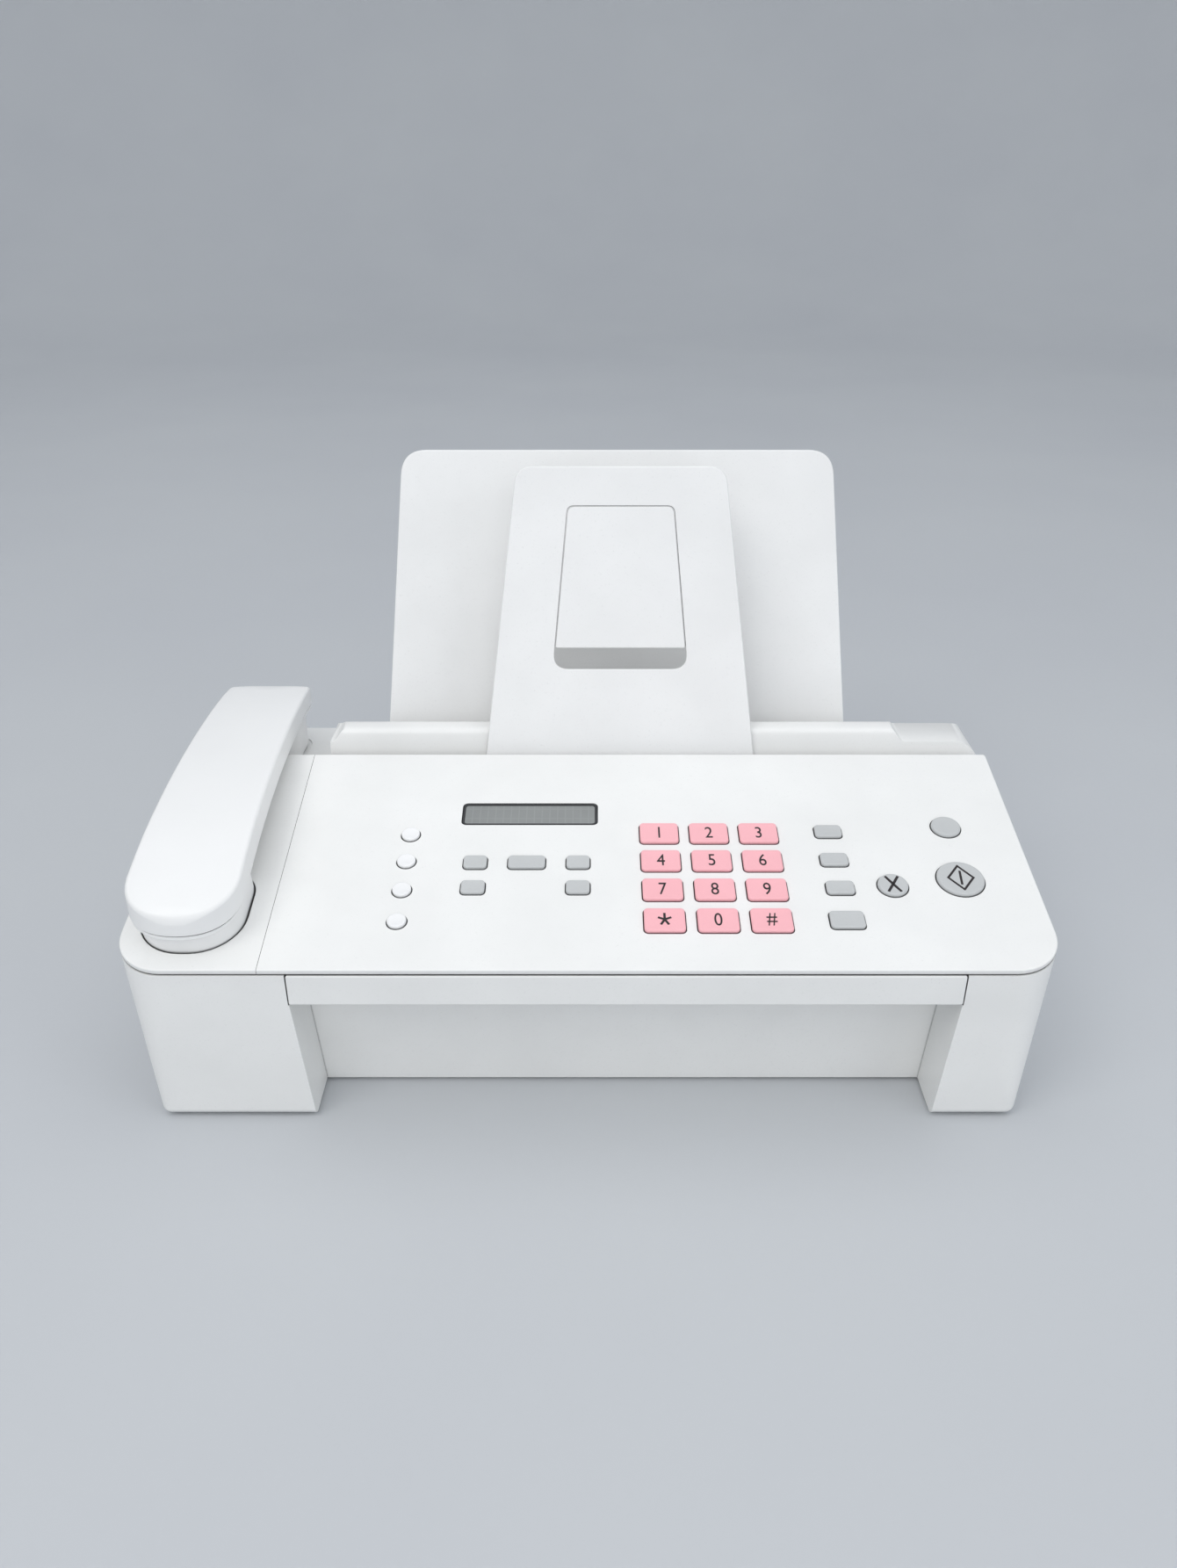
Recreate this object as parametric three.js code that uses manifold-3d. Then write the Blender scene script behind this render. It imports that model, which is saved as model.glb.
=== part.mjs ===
// Desktop fax machine: tapered casing with a front paper recess, sloped control deck,
// handset in a cradle on the left, and two leaning paper supports at the rear.
// Millimetres, +Z up, X across the machine, Y from the front edge to the rear.

import * as THREE from "three";
import { mergeVertices } from "three/addons/utils/BufferGeometryUtils.js";
import Module from "manifold-3d";

const wasm = await Module();
wasm.setup();

// ---------- driving dimensions ----------
const GAP = 0.4; // between neighbouring pieces
const WALL = 2.6; // moulded casing wall
const HALF_WIDTH = 185; // deck and upper casing
const HALF_BASE = 176; // casing at the bottom
const FRONT_CORNER = 20; // plan radius of the deck's front corners
const REAR_CORNER = 10;
const BODY_DEPTH = 192;
const FOOT_LIFT = 1.3; // casing above the table
const DECK_FRONT_Z = 76;
const DECK_DEPTH = 130;
const DECK_SLOPE = THREE.MathUtils.degToRad(12);
const DECK_THICK = 2.4;
const REAR_SEAT_Z = 84; // casing edge that carries the rear cover and the shelf
const SEAM_X = -127.6; // between the handset cradle and the opening panel
const REAR_COVER_LEFT = -122;

const RECESS = { left: -116.8, right: 145.9, drawIn: 5.6, top: 59, depth: 24.5 };
const EXIT_SLOT = { left: -98, right: 126, low: 42, high: 54 };
const CHASSIS_LEFT = -119; // left upright, from here inwards
const CHASSIS_RIGHT = 147; // right upright, from here outwards
const UPRIGHT = 3; // thickness of the two uprights that carry the shafts
const VENTS = { count: 7, left: -40, pitch: 14, width: 6, low: 30, high: 52 }; // in the rear wall
const GRILLE = { count: 5, front: 30, pitch: 6, width: 3, low: 16, high: 40 }; // in front of the speaker
const FOOT = { radius: 7, stem: 2.4, top: 4.6 };

const SHELF_TOP = 88; // where the ear end of the handset rests
const RIDGE_Z = 111;
const SHOULDER_Z = 105.5;
const HOPPER = { left: -101, right: 129, front: 152.6, back: 178, low: 72 };

const KEY_PROUD = 1.4; // key tops above the deck
const KEY_DEPTH = 4.4; // key bottoms below the deck
const KEY_GAP = 0.35;
const KEY_CORNER = 1.4;
const RIM_LOW = -8; // lower edge of the rib round the panel's underside
const RIM_THICK = 2;
const WINDOW = { x0: -55.2, x1: 3.8, s0: 83.9, s1: 97.7 }; // display, X and distance up the deck

const HOOK = { x: -158, y: 164, halfWidth: 3, halfLength: 5, low: 72, flange: 77 };

const PLATE = 2.6; // thickness of both paper supports
const DOC_LEAN = THREE.MathUtils.degToRad(20);
const PAPER_LEAN = THREE.MathUtils.degToRad(22);

// ---------- materials ----------
const material = (color, roughness, metalness = 0) =>
  new THREE.MeshStandardMaterial({ color, roughness, metalness });
const WHITE = material(0xf4f4f2, 0.45);
const GREY = material(0xc9cacb, 0.5);
const PINK = material(0xf7bcc3, 0.5);
const LCD = material(0x8f9290, 0.15);
const RUBBER = material(0x2b2b2c, 0.85);
const STEEL = material(0xb9bcc0, 0.35, 1);
const BLACK = material(0x1e1f21, 0.5);
const BOARD = material(0x1f6b3f, 0.55);
const NYLON = material(0xe6e2d6, 0.5);

// ---------- solids ----------
function solid(geometry) {
  const bare = new THREE.BufferGeometry();
  const flat = geometry.index ? geometry.toNonIndexed() : geometry;
  bare.setAttribute("position", flat.getAttribute("position"));
  const merged = mergeVertices(bare, 1e-4);
  return new wasm.Manifold(
    new wasm.Mesh({
      numProp: 3,
      vertProperties: merged.attributes.position.array,
      triVerts: new Uint32Array(merged.index.array),
    }),
  );
}

function geometryOf(body) {
  const mesh = body.getMesh();
  const geometry = new THREE.BufferGeometry();
  geometry.setAttribute("position", new THREE.BufferAttribute(mesh.vertProperties, 3));
  geometry.setIndex(new THREE.BufferAttribute(mesh.triVerts, 1));
  geometry.computeVertexNormals();
  return geometry;
}

const join = (...bodies) => bodies.reduce((a, b) => a.add(b));
const cut = (body, ...tools) => tools.reduce((a, b) => a.subtract(b), body);

function rectangle(x0, x1, y0, y1, radii = 0) {
  const [frontLeft, frontRight, rearRight, rearLeft] = Array.isArray(radii)
    ? radii
    : [radii, radii, radii, radii];
  const quarter = Math.PI / 2;
  const shape = new THREE.Shape();
  const corner = (x, y, r, start) => {
    if (r > 0) shape.absarc(x, y, r, start, start + quarter, false);
    else shape.lineTo(x, y);
  };
  shape.moveTo(x0, y0 + frontLeft);
  corner(x0 + frontLeft, y0 + frontLeft, frontLeft, Math.PI);
  corner(x1 - frontRight, y0 + frontRight, frontRight, 3 * quarter);
  corner(x1 - rearRight, y1 - rearRight, rearRight, 0);
  corner(x0 + rearLeft, y1 - rearLeft, rearLeft, quarter);
  return shape;
}

function polygon(...points) {
  return new THREE.Shape(points.map(([x, y]) => new THREE.Vector2(x, y)));
}

// A shape drawn in X and Y, raised from z0 to z1.
function prism(shape, z0, z1, curveSegments = 6) {
  const geometry = new THREE.ExtrudeGeometry(shape, {
    depth: z1 - z0,
    bevelEnabled: false,
    curveSegments,
  });
  return solid(geometry.translate(0, 0, z0));
}

// A shape drawn in Y and Z, drawn out from x0 to x1.
function sideProfile(shape, x0, x1, curveSegments = 6) {
  const geometry = new THREE.ExtrudeGeometry(shape, {
    depth: x1 - x0,
    bevelEnabled: false,
    curveSegments,
  });
  const turn = new THREE.Matrix4().makeBasis(
    new THREE.Vector3(0, 1, 0),
    new THREE.Vector3(0, 0, 1),
    new THREE.Vector3(1, 0, 0),
  );
  return solid(geometry.applyMatrix4(turn).translate(x0, 0, 0));
}

// A shape drawn in X and Z, drawn out from y0 to y1.
function frontProfile(shape, y0, y1, curveSegments = 6) {
  const geometry = new THREE.ExtrudeGeometry(shape, {
    depth: y1 - y0,
    bevelEnabled: false,
    curveSegments,
  });
  return solid(geometry.rotateX(Math.PI / 2).translate(0, y1, 0));
}

function box(x0, x1, y0, y1, z0, z1) {
  const geometry = new THREE.BoxGeometry(x1 - x0, y1 - y0, z1 - z0);
  return solid(geometry.translate((x0 + x1) / 2, (y0 + y1) / 2, (z0 + z1) / 2));
}

function rod(radius, x0, x1, y, z, sides = 16) {
  const geometry = new THREE.CylinderGeometry(radius, radius, x1 - x0, sides);
  return solid(geometry.rotateZ(Math.PI / 2).translate((x0 + x1) / 2, y, z));
}

function post(radius, x, y, z0, z1, sides = 10) {
  const geometry = new THREE.CylinderGeometry(radius, radius, z1 - z0, sides);
  return solid(geometry.rotateX(Math.PI / 2).translate(x, y, (z0 + z1) / 2));
}

// A closed skin through plan sections at rising heights, each with the same number of points.
function loft(sections) {
  const rings = sections.map(([shape, z]) => ({ z, points: shape.getPoints(6) }));
  const positions = [];
  const put = (point, z) => positions.push(point.x, point.y, z);
  for (let level = 1; level < rings.length; level++) {
    const low = rings[level - 1];
    const high = rings[level];
    const count = low.points.length;
    for (let i = 0; i < count; i++) {
      const next = (i + 1) % count;
      put(low.points[i], low.z);
      put(low.points[next], low.z);
      put(high.points[next], high.z);
      put(low.points[i], low.z);
      put(high.points[next], high.z);
      put(high.points[i], high.z);
    }
  }
  const cap = (ring, up) => {
    for (let i = 1; i < ring.points.length - 1; i++) {
      put(ring.points[0], ring.z);
      put(ring.points[up ? i : i + 1], ring.z);
      put(ring.points[up ? i + 1 : i], ring.z);
    }
  };
  cap(rings[0], false);
  cap(rings[rings.length - 1], true);
  const geometry = new THREE.BufferGeometry();
  geometry.setAttribute("position", new THREE.Float32BufferAttribute(positions, 3));
  return solid(geometry);
}

// ---------- frames ----------
const deckMatrix = new THREE.Matrix4()
  .makeRotationX(DECK_SLOPE)
  .setPosition(0, 0, DECK_FRONT_Z);
const onDeck = (body) => solid(geometryOf(body).applyMatrix4(deckMatrix));
const deckHeight = (y) => DECK_FRONT_Z + y * Math.tan(DECK_SLOPE);
const DECK_LENGTH = DECK_DEPTH / Math.cos(DECK_SLOPE);

const machine = new THREE.Group();
const deck = new THREE.Group();
deck.applyMatrix4(deckMatrix);
machine.add(deck);

function piece(name, body, look, parent = machine) {
  const mesh = new THREE.Mesh(geometryOf(body), look);
  mesh.name = name;
  parent.add(mesh);
  return mesh;
}

// ---------- lower casing ----------
function casingSkin(inset, floor) {
  const section = (half, front, rear, cornerFront, cornerRear) =>
    rectangle(-half + inset, half - inset, front + inset, rear - inset, [
      cornerFront,
      cornerFront,
      cornerRear,
      cornerRear,
    ]);
  const innerCorner = FRONT_CORNER - inset;
  return loft([
    [section(HALF_BASE, 1.5, BODY_DEPTH - 3, 4, 4), floor],
    [section(HALF_WIDTH, 0, BODY_DEPTH, innerCorner, REAR_CORNER), DECK_FRONT_Z],
    [section(HALF_WIDTH, 0, BODY_DEPTH, innerCorner, REAR_CORNER), RIDGE_Z + 9],
  ]);
}

function recessBlock(grow) {
  const { left, right, drawIn, top, depth } = RECESS;
  const outline = polygon(
    [left - grow + drawIn, -10],
    [right + grow - drawIn, -10],
    [right + grow, top + grow],
    [left - grow, top + grow],
  );
  return frontProfile(outline, -10, depth + grow);
}

const uprightOutline = polygon(
  [32, 2],
  [172, 2],
  [172, 82],
  [133, 82],
  [130, 88],
  [112, 88],
  [108, 74],
  [32, 58],
);

const shafts = {
  exit: { y: 38, z: 47, radius: 3 },
  carriage: { y: 92, z: 46, radius: 3 },
  document: { y: 121, z: 79, radius: 3 },
  paper: { y: 160, z: 56, radius: 3.5 },
};
const GEAR_MODULE = 1.5;
const GEAR_TEETH = 30;
const PINION_TEETH = 12;
const gearDistance = (GEAR_MODULE * (GEAR_TEETH + PINION_TEETH)) / 2 + 0.3;
const MOTOR = { left: 118, can: 13, boss: 6, shaft: 1.9 };
const motorAxis = {
  y: shafts.paper.y - gearDistance * 0.8,
  z: shafts.paper.z - gearDistance * 0.6,
};

const JACK = { x0: -166, x1: -130, z0: 20, z1: 38 };
const INLET = { x0: 128, x1: 152, z0: 20, z1: 38 };
const feet = {
  foot_front_left: [-146, 14],
  foot_front_right: [160, 14],
  foot_rear_left: [-160, 176],
  foot_rear_right: [160, 176],
};
const mainBoardPosts = [
  [-96, 46],
  [84, 46],
  [-96, 134],
  [84, 134],
];
const powerBoardPosts = [
  [-164, 98],
  [-130, 98],
  [-164, 168],
  [-130, 168],
];
const BOARD_Z = 10;

function lowerCasing() {
  const skin = casingSkin(0, FOOT_LIFT);
  const edge = sideProfile(
    polygon(
      [-10, -1],
      [BODY_DEPTH + 10, -1],
      [BODY_DEPTH + 10, REAR_SEAT_Z],
      [DECK_DEPTH + 0.9, REAR_SEAT_Z],
      [DECK_DEPTH + 0.9, deckHeight(DECK_DEPTH) - DECK_THICK - GAP],
      [-10, deckHeight(-10) - DECK_THICK - GAP],
    ),
    -HALF_WIDTH - 5,
    HALF_WIDTH + 5,
  );
  const hollow = casingSkin(WALL, FOOT_LIFT + WALL);
  const shell = cut(skin, hollow);
  const liner = skin.intersect(recessBlock(WALL));
  const uprights = [CHASSIS_LEFT, CHASSIS_RIGHT].map((x) =>
    sideProfile(uprightOutline, x, x + UPRIGHT),
  );
  const posts = [...mainBoardPosts, ...powerBoardPosts].map(([x, y]) =>
    post(3, x, y, FOOT_LIFT + 1, BOARD_Z - GAP, 8),
  );
  let body = join(shell, liner, ...uprights, ...posts).intersect(edge);

  const shaftHoles = Object.values(shafts).map(({ y, z, radius }) =>
    rod(radius + GAP, CHASSIS_LEFT - 1, CHASSIS_RIGHT + UPRIGHT + 1, y, z),
  );
  const motorHole = rod(
    MOTOR.boss + GAP,
    CHASSIS_RIGHT - 1,
    CHASSIS_RIGHT + UPRIGHT + 1,
    motorAxis.y,
    motorAxis.z,
  );
  const fasciaGap = box(RECESS.left - GAP, RECESS.right + GAP, -5, WALL + GAP, RECESS.top, 90);
  const slot = box(EXIT_SLOT.left, EXIT_SLOT.right, 20, 30, EXIT_SLOT.low, EXIT_SLOT.high);
  const jack = box(JACK.x0 - GAP, JACK.x1 + GAP, 180, 200, JACK.z0 - GAP, JACK.z1 + GAP);
  const inlet = box(INLET.x0 - GAP, INLET.x1 + GAP, 180, 200, INLET.z0 - GAP, INLET.z1 + GAP);
  const vents = [];
  for (let i = 0; i < VENTS.count; i++) {
    const x = VENTS.left + i * VENTS.pitch;
    vents.push(box(x, x + VENTS.width, 180, 200, VENTS.low, VENTS.high));
  }
  const grille = [];
  for (let i = 0; i < GRILLE.count; i++) {
    const y = GRILLE.front + i * GRILLE.pitch;
    grille.push(box(-190, -160, y, y + GRILLE.width, GRILLE.low, GRILLE.high));
  }
  const footHoles = Object.values(feet).map(([x, y]) => post(FOOT.stem + GAP, x, y, -1, 6));
  body = cut(body, recessBlock(0), fasciaGap, slot, jack, inlet, motorHole);
  return cut(body, ...shaftHoles, ...vents, ...grille, ...footHoles);
}
piece("lower_casing", lowerCasing(), WHITE);

for (const [name, [x, y]] of Object.entries(feet)) {
  const profile = [
    [0, 0],
    [FOOT.radius, 0],
    [FOOT.radius, FOOT_LIFT - 0.3],
    [FOOT.stem, FOOT_LIFT - 0.3],
    [FOOT.stem, FOOT.top],
    [0, FOOT.top],
  ].map(([r, z]) => new THREE.Vector2(r, z));
  const foot = new THREE.LatheGeometry(profile, 14).rotateX(Math.PI / 2);
  piece(name, solid(foot), RUBBER).position.set(x, y, 0);
}

function frontFascia() {
  const { left, right, top } = RECESS;
  const high = DECK_FRONT_Z - DECK_THICK - GAP;
  const face = box(left, right, 0, WALL, top + GAP, high);
  const rib = box(left + 6, right - 6, WALL - 0.5, 9, top + 5, top + 7);
  return join(face, rib);
}
piece("front_fascia", frontFascia(), WHITE);

// ---------- deck ----------
const deckOutline = (x0, x1, frontLeft, frontRight) =>
  rectangle(x0, x1, 0, DECK_LENGTH, [frontLeft, frontRight, 1.5, 0]);

const rectKeys = [];
const keypadColumns = [30.4, 51.8, 73.2];
const keypadRows = [77.4, 60.3, 43.2, 25.9];
const keypadNames = ["1", "2", "3", "4", "5", "6", "7", "8", "9", "star", "0", "hash"];
keypadNames.forEach((label, i) => {
  rectKeys.push({
    name: "key_" + label,
    x: keypadColumns[i % 3],
    s: keypadRows[Math.floor(i / 3)],
    width: 16.5,
    length: i < 9 ? 12.2 : 12.6,
    look: PINK,
  });
});
const MENU_ROWS = [59.5, 44.6];
rectKeys.push(
  { name: "menu_left", x: -47.6, s: MENU_ROWS[0], width: 9.8, length: 7.4, look: GREY },
  { name: "menu_select", x: -26, s: MENU_ROWS[0], width: 15.6, length: 7.4, look: GREY },
  { name: "menu_right", x: -4.4, s: MENU_ROWS[0], width: 9.8, length: 7.4, look: GREY },
  { name: "menu_volume", x: -47.6, s: MENU_ROWS[1], width: 9.8, length: 7.4, look: GREY },
  { name: "menu_program", x: -4.4, s: MENU_ROWS[1], width: 9.8, length: 7.4, look: GREY },
);
const FUNCTION_X = 103.4;
rectKeys.push(
  { name: "function_redial", x: FUNCTION_X, s: 78.6, width: 11.5, length: 7.4, look: GREY },
  { name: "function_mute", x: FUNCTION_X, s: 61, width: 11.5, length: 7.4, look: GREY },
  { name: "function_flash", x: FUNCTION_X, s: 44.3, width: 11.5, length: 7.4, look: GREY },
  { name: "function_speaker", x: FUNCTION_X, s: 26.2, width: 13.8, length: 9.2, look: GREY },
);
const roundKeys = [
  { name: "copy_button", x: 155, s: 81.6, radius: 6.3, look: GREY },
  { name: "stop_button", x: 125.3, s: 45.8, radius: 6.3, look: GREY },
  { name: "start_button", x: 154, s: 49.5, radius: 9.8, look: GREY },
];
const ONE_TOUCH_X = -76.6;
[76.8, 60.2, 43.2, 25.6].forEach((s, i) => {
  roundKeys.push({ name: "one_touch_" + (i + 1), x: ONE_TOUCH_X, s, radius: 3.9, look: WHITE });
});
function keyFootprint({ x, s, width, length, radius }, grow) {
  if (radius) {
    const round = new THREE.Shape();
    round.absarc(x, s, radius + grow, 0, 2 * Math.PI, false);
    return round;
  }
  const w = width / 2 + grow;
  const l = length / 2 + grow;
  return rectangle(x - w, x + w, s - l, s + l, KEY_CORNER + grow / 2);
}

function keyPrism(key, grow, low, high) {
  return prism(keyFootprint(key, grow), low, high, key.radius ? 9 : 1);
}

function controlPanel() {
  const plate = prism(deckOutline(SEAM_X + GAP, HALF_WIDTH, 1.5, FRONT_CORNER), -DECK_THICK, 0);
  const rim = { x0: SEAM_X + 3, x1: HALF_WIDTH - 3.6, s0: 4, s1: DECK_LENGTH - 5 };
  const rimOuter = rectangle(rim.x0, rim.x1, rim.s0, rim.s1, [1, FRONT_CORNER - 4, 2, 1]);
  const rimInner = rectangle(
    rim.x0 + RIM_THICK,
    rim.x1 - RIM_THICK,
    rim.s0 + RIM_THICK,
    rim.s1 - RIM_THICK,
    [1, FRONT_CORNER - 4 - RIM_THICK, 2, 1],
  );
  const rib = cut(
    prism(rimOuter, RIM_LOW, -DECK_THICK + 0.5),
    prism(rimInner, RIM_LOW - 1, -DECK_THICK + 0.2),
  );
  const holes = [...rectKeys, ...roundKeys].map((key) => keyPrism(key, KEY_GAP, -5, 1));
  const { x0, x1, s0, s1 } = WINDOW;
  const opening = rectangle(x0 - KEY_GAP, x1 + KEY_GAP, s0 - KEY_GAP, s1 + KEY_GAP, KEY_CORNER + 0.2);
  return cut(join(plate, rib), ...holes, prism(opening, -5, 1, 2));
}
piece("control_panel", controlPanel(), WHITE, deck);

for (const key of [...rectKeys, ...roundKeys]) {
  piece(key.name, keyPrism(key, 0, -KEY_DEPTH, KEY_PROUD), key.look, deck);
}

const pane = rectangle(WINDOW.x0, WINDOW.x1, WINDOW.s0, WINDOW.s1, KEY_CORNER);
piece("lcd_window", prism(pane, -1.9, -0.2, 2), LCD, deck);
piece("key_mat", prism(rectangle(-84, 168, 16, 92, 3), -7.4, -6.2, 2), RUBBER, deck);
piece("panel_board", prism(rectangle(-92, 172, 12, 106, 2), -10.4, -8.8, 2), BOARD, deck);

// ---------- handset and its cradle ----------
const HANDSET_X = -158;
const CUP = { x0: -178.2, x1: -137.2, s0: 9.5, s1: 53 };
const WELL_FLOOR = -8;
const EAR = { x0: -175.5, x1: -140.5, y0: 147, y1: 181 };

function hookBlock(grow, low, high) {
  const { x, y, halfWidth, halfLength } = HOOK;
  const w = halfWidth + grow;
  const l = halfLength + grow;
  return box(x - w, x + w, y - l, y + l, low, high);
}

function cradleCover() {
  const plate = prism(deckOutline(-HALF_WIDTH, SEAM_X, FRONT_CORNER, 1.5), -DECK_THICK, 0);
  const wellWall = (grow, low, high) =>
    prism(
      rectangle(CUP.x0 - grow, CUP.x1 + grow, CUP.s0 - grow, CUP.s1 + grow, [19, 19, 12, 12]),
      low,
      high,
    );
  const top = onDeck(join(plate, wellWall(2.8, WELL_FLOOR - 1.6, -1)));
  const well = onDeck(wellWall(1.2, WELL_FLOOR, 5));
  const step = DECK_DEPTH + 0.3;
  const low = REAR_SEAT_Z + GAP;
  const shelfOutline = rectangle(-HALF_WIDTH, REAR_COVER_LEFT - GAP, step - 3, BODY_DEPTH, [
    0,
    0,
    0.5,
    REAR_CORNER,
  ]);
  const shelf = prism(shelfOutline, low, SHELF_TOP);
  const backEdge = deckHeight(DECK_DEPTH) - 0.6;
  const riser = box(-HALF_WIDTH, SEAM_X, step - 3, step + 0.35, low, backEdge);
  const rimTop = deckHeight(DECK_DEPTH) - DECK_THICK + 0.2;
  const casingWall = box(-HALF_WIDTH - 1, -HALF_WIDTH + WALL + GAP, step - 4, step + 1, 80, rimTop);
  const hookHole = hookBlock(0.5, 80, 90);
  return cut(join(top, cut(join(shelf, riser), casingWall)), well, hookHole);
}
piece("cradle_cover", cradleCover(), WHITE);

// Side outline of the handset grip: crown and underside as curves through Y and Z.
const crown = [
  [5, 95],
  [9, 99.4],
  [24, 104.4],
  [50, 111.4],
  [85, 116.8],
  [120, 119.4],
  [155, 119.6],
  [178, 117.6],
  [184, 113.4],
];
const underside = [
  [184, 107.4],
  [155, 110.4],
  [120, 110.2],
  [85, 107.2],
  [50, 101],
  [24, 93.6],
  [5, 88],
];
function curve(points) {
  return new THREE.SplineCurve(points.map(([y, z]) => new THREE.Vector2(y, z))).getPoints(12);
}
const handsetPlan = (inset, front, rear) => {
  const near = 22.5 - inset;
  const far = 20 - inset;
  const plan = new THREE.Shape();
  plan.moveTo(HANDSET_X - near, front + 19);
  plan.bezierCurveTo(
    HANDSET_X - near + 0.5, front + 6, HANDSET_X - 13, front, HANDSET_X, front,
  );
  plan.bezierCurveTo(
    HANDSET_X + 13, front, HANDSET_X + near - 0.5, front + 6, HANDSET_X + near, front + 19,
  );
  plan.lineTo(HANDSET_X + far, rear - 8);
  plan.absarc(HANDSET_X + far - 8, rear - 8, 8, 0, Math.PI / 2, false);
  plan.absarc(HANDSET_X - far + 8, rear - 8, 8, Math.PI / 2, Math.PI, false);
  return plan;
};

function handsetBack() {
  const outline = new THREE.Shape([...curve(crown), ...curve(underside)]);
  return sideProfile(outline, -190, -120).intersect(prism(handsetPlan(0, 5, 184), 60, 130));
}
piece("handset_back_shell", handsetBack(), WHITE);

function handsetFront() {
  const below = (drop) => curve(underside).map((p) => new THREE.Vector2(p.x, p.y - drop));
  const cupLow = (y) => deckHeight(y) + (WELL_FLOOR + GAP) / Math.cos(DECK_SLOPE);
  const under = new THREE.Shape([
    ...below(GAP),
    new THREE.Vector2(5, cupLow(5)),
    new THREE.Vector2(70, cupLow(70)),
    new THREE.Vector2(140, SHELF_TOP + GAP),
    new THREE.Vector2(184, SHELF_TOP + GAP),
  ]);
  const room = sideProfile(under, -190, -120);
  const mouth = onDeck(prism(rectangle(CUP.x0, CUP.x1, CUP.s0, CUP.s1, [18, 18, 11, 11]), -20, 60));
  const ear = prism(rectangle(EAR.x0, EAR.x1, EAR.y0, EAR.y1, 10), 60, 130);
  const strip = new THREE.Shape([...below(GAP), ...below(2.8).reverse()]);
  const bridge = sideProfile(strip, -190, -120).intersect(prism(handsetPlan(0.4, 5.4, 183.6), 60, 130));
  return join(room.intersect(mouth.add(ear)), bridge);
}
piece("handset_front_shell", handsetFront(), WHITE);

const plunger = hookBlock(0, HOOK.flange - 1, SHELF_TOP - 0.1);
piece("hook_switch", join(plunger, hookBlock(2.5, HOOK.low, HOOK.flange)), GREY);

// ---------- rear cover ----------
function coverSkin(inset) {
  const right = HALF_WIDTH - inset;
  const left = REAR_COVER_LEFT + inset;
  const shoulder = SHOULDER_Z - inset;
  const ridge = RIDGE_Z - inset;
  const across = new THREE.Shape();
  across.moveTo(left, 60);
  across.lineTo(right, 60);
  across.lineTo(right, shoulder - 12);
  across.absarc(right - 12, shoulder - 12, 12, 0, Math.PI / 2, false);
  across.lineTo(149 - inset, shoulder);
  across.bezierCurveTo(146 - inset, shoulder, 146 - inset, ridge, 142 - inset, ridge);
  across.lineTo(-114 + inset, ridge);
  across.bezierCurveTo(-118 + inset, ridge, -118 + inset, shoulder, left, shoulder);
  const low = inset ? 60 : REAR_SEAT_Z + GAP;
  const along = new THREE.Shape();
  const front = 134.6 + inset;
  const rear = BODY_DEPTH - inset;
  along.moveTo(front, low);
  along.lineTo(rear, low);
  along.lineTo(rear, 86);
  along.quadraticCurveTo(rear, 88.6 - inset, rear - 4, 90 - inset);
  along.lineTo(152, RIDGE_Z - 0.9 - inset);
  along.quadraticCurveTo(149, RIDGE_Z + 0.2 - inset, 145, RIDGE_Z - inset);
  along.quadraticCurveTo(141.4 + inset, RIDGE_Z - inset, 140.8 + inset, RIDGE_Z - 2.6 - inset);
  along.lineTo(front, 92.4);
  return frontProfile(across, 120, 200, 5).intersect(sideProfile(along, -130, 190, 4));
}

function rearCover() {
  const corner = REAR_CORNER;
  const plan = (inset) =>
    prism(
      rectangle(REAR_COVER_LEFT + inset, HALF_WIDTH - inset, 134 + inset, BODY_DEPTH - inset, [
        0,
        0,
        corner - inset,
        0.1,
      ]),
      50,
      120,
    );
  const shell = cut(coverSkin(0).intersect(plan(0)), coverSkin(WALL).intersect(plan(WALL)));
  const { left, right, front, back, low } = HOPPER;
  const chute = box(left - 2, right + 2, front - 2, back + 2, low, 100);
  const seat = box(left - 2, right + 2, front - 2, back + 2, low, REAR_SEAT_Z + 2);
  const throat = box(left, right, front, back, low - 5, 125);
  return cut(join(shell, chute.intersect(coverSkin(0.8).add(seat))), throat);
}
piece("rear_cover", rearCover(), WHITE);

// ---------- paper supports ----------
// Each stands in its own leaning frame: X across, Y up the plate, Z out of its front face.
function leaningFrame(y, z, lean) {
  const frame = new THREE.Group();
  frame.position.set(0, y, z);
  frame.rotation.x = Math.PI / 2 - lean;
  machine.add(frame);
  return frame;
}

function taperedPlate({ centre, halfLow, halfHigh, low, high, radius }) {
  const lean = (halfLow - halfHigh) / (high - low);
  const shape = new THREE.Shape();
  shape.moveTo(centre - halfLow, low);
  shape.lineTo(centre + halfLow, low);
  const halfAt = (u) => halfLow - lean * (u - low);
  shape.lineTo(centre + halfAt(high - radius), high - radius);
  shape.quadraticCurveTo(centre + halfHigh, high, centre + halfHigh - radius, high);
  shape.lineTo(centre - halfHigh + radius, high);
  shape.quadraticCurveTo(centre - halfHigh, high, centre - halfAt(high - radius), high - radius);
  return shape;
}

const DOC = {
  y: 134.6,
  z: 101,
  centre: 14.8,
  halfLow: 63.6,
  halfHigh: 48,
  low: -7,
  high: 132.5,
  radius: 8,
};
const PAPER = {
  y: 169.6,
  z: 100.5,
  centre: 14,
  halfLow: 114.4,
  halfHigh: 104.6,
  low: -28,
  high: 133.2,
  radius: 12,
};
const PAPER_RIBS = { x0: -56, x1: 84, low: 12, high: 120, cross: 67, proud: 3, thick: 2 };
const FLAP = { low: 50, high: 114.4, scoop: 40.2, halfLow: 30.6, halfHigh: 24.6 };

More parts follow.
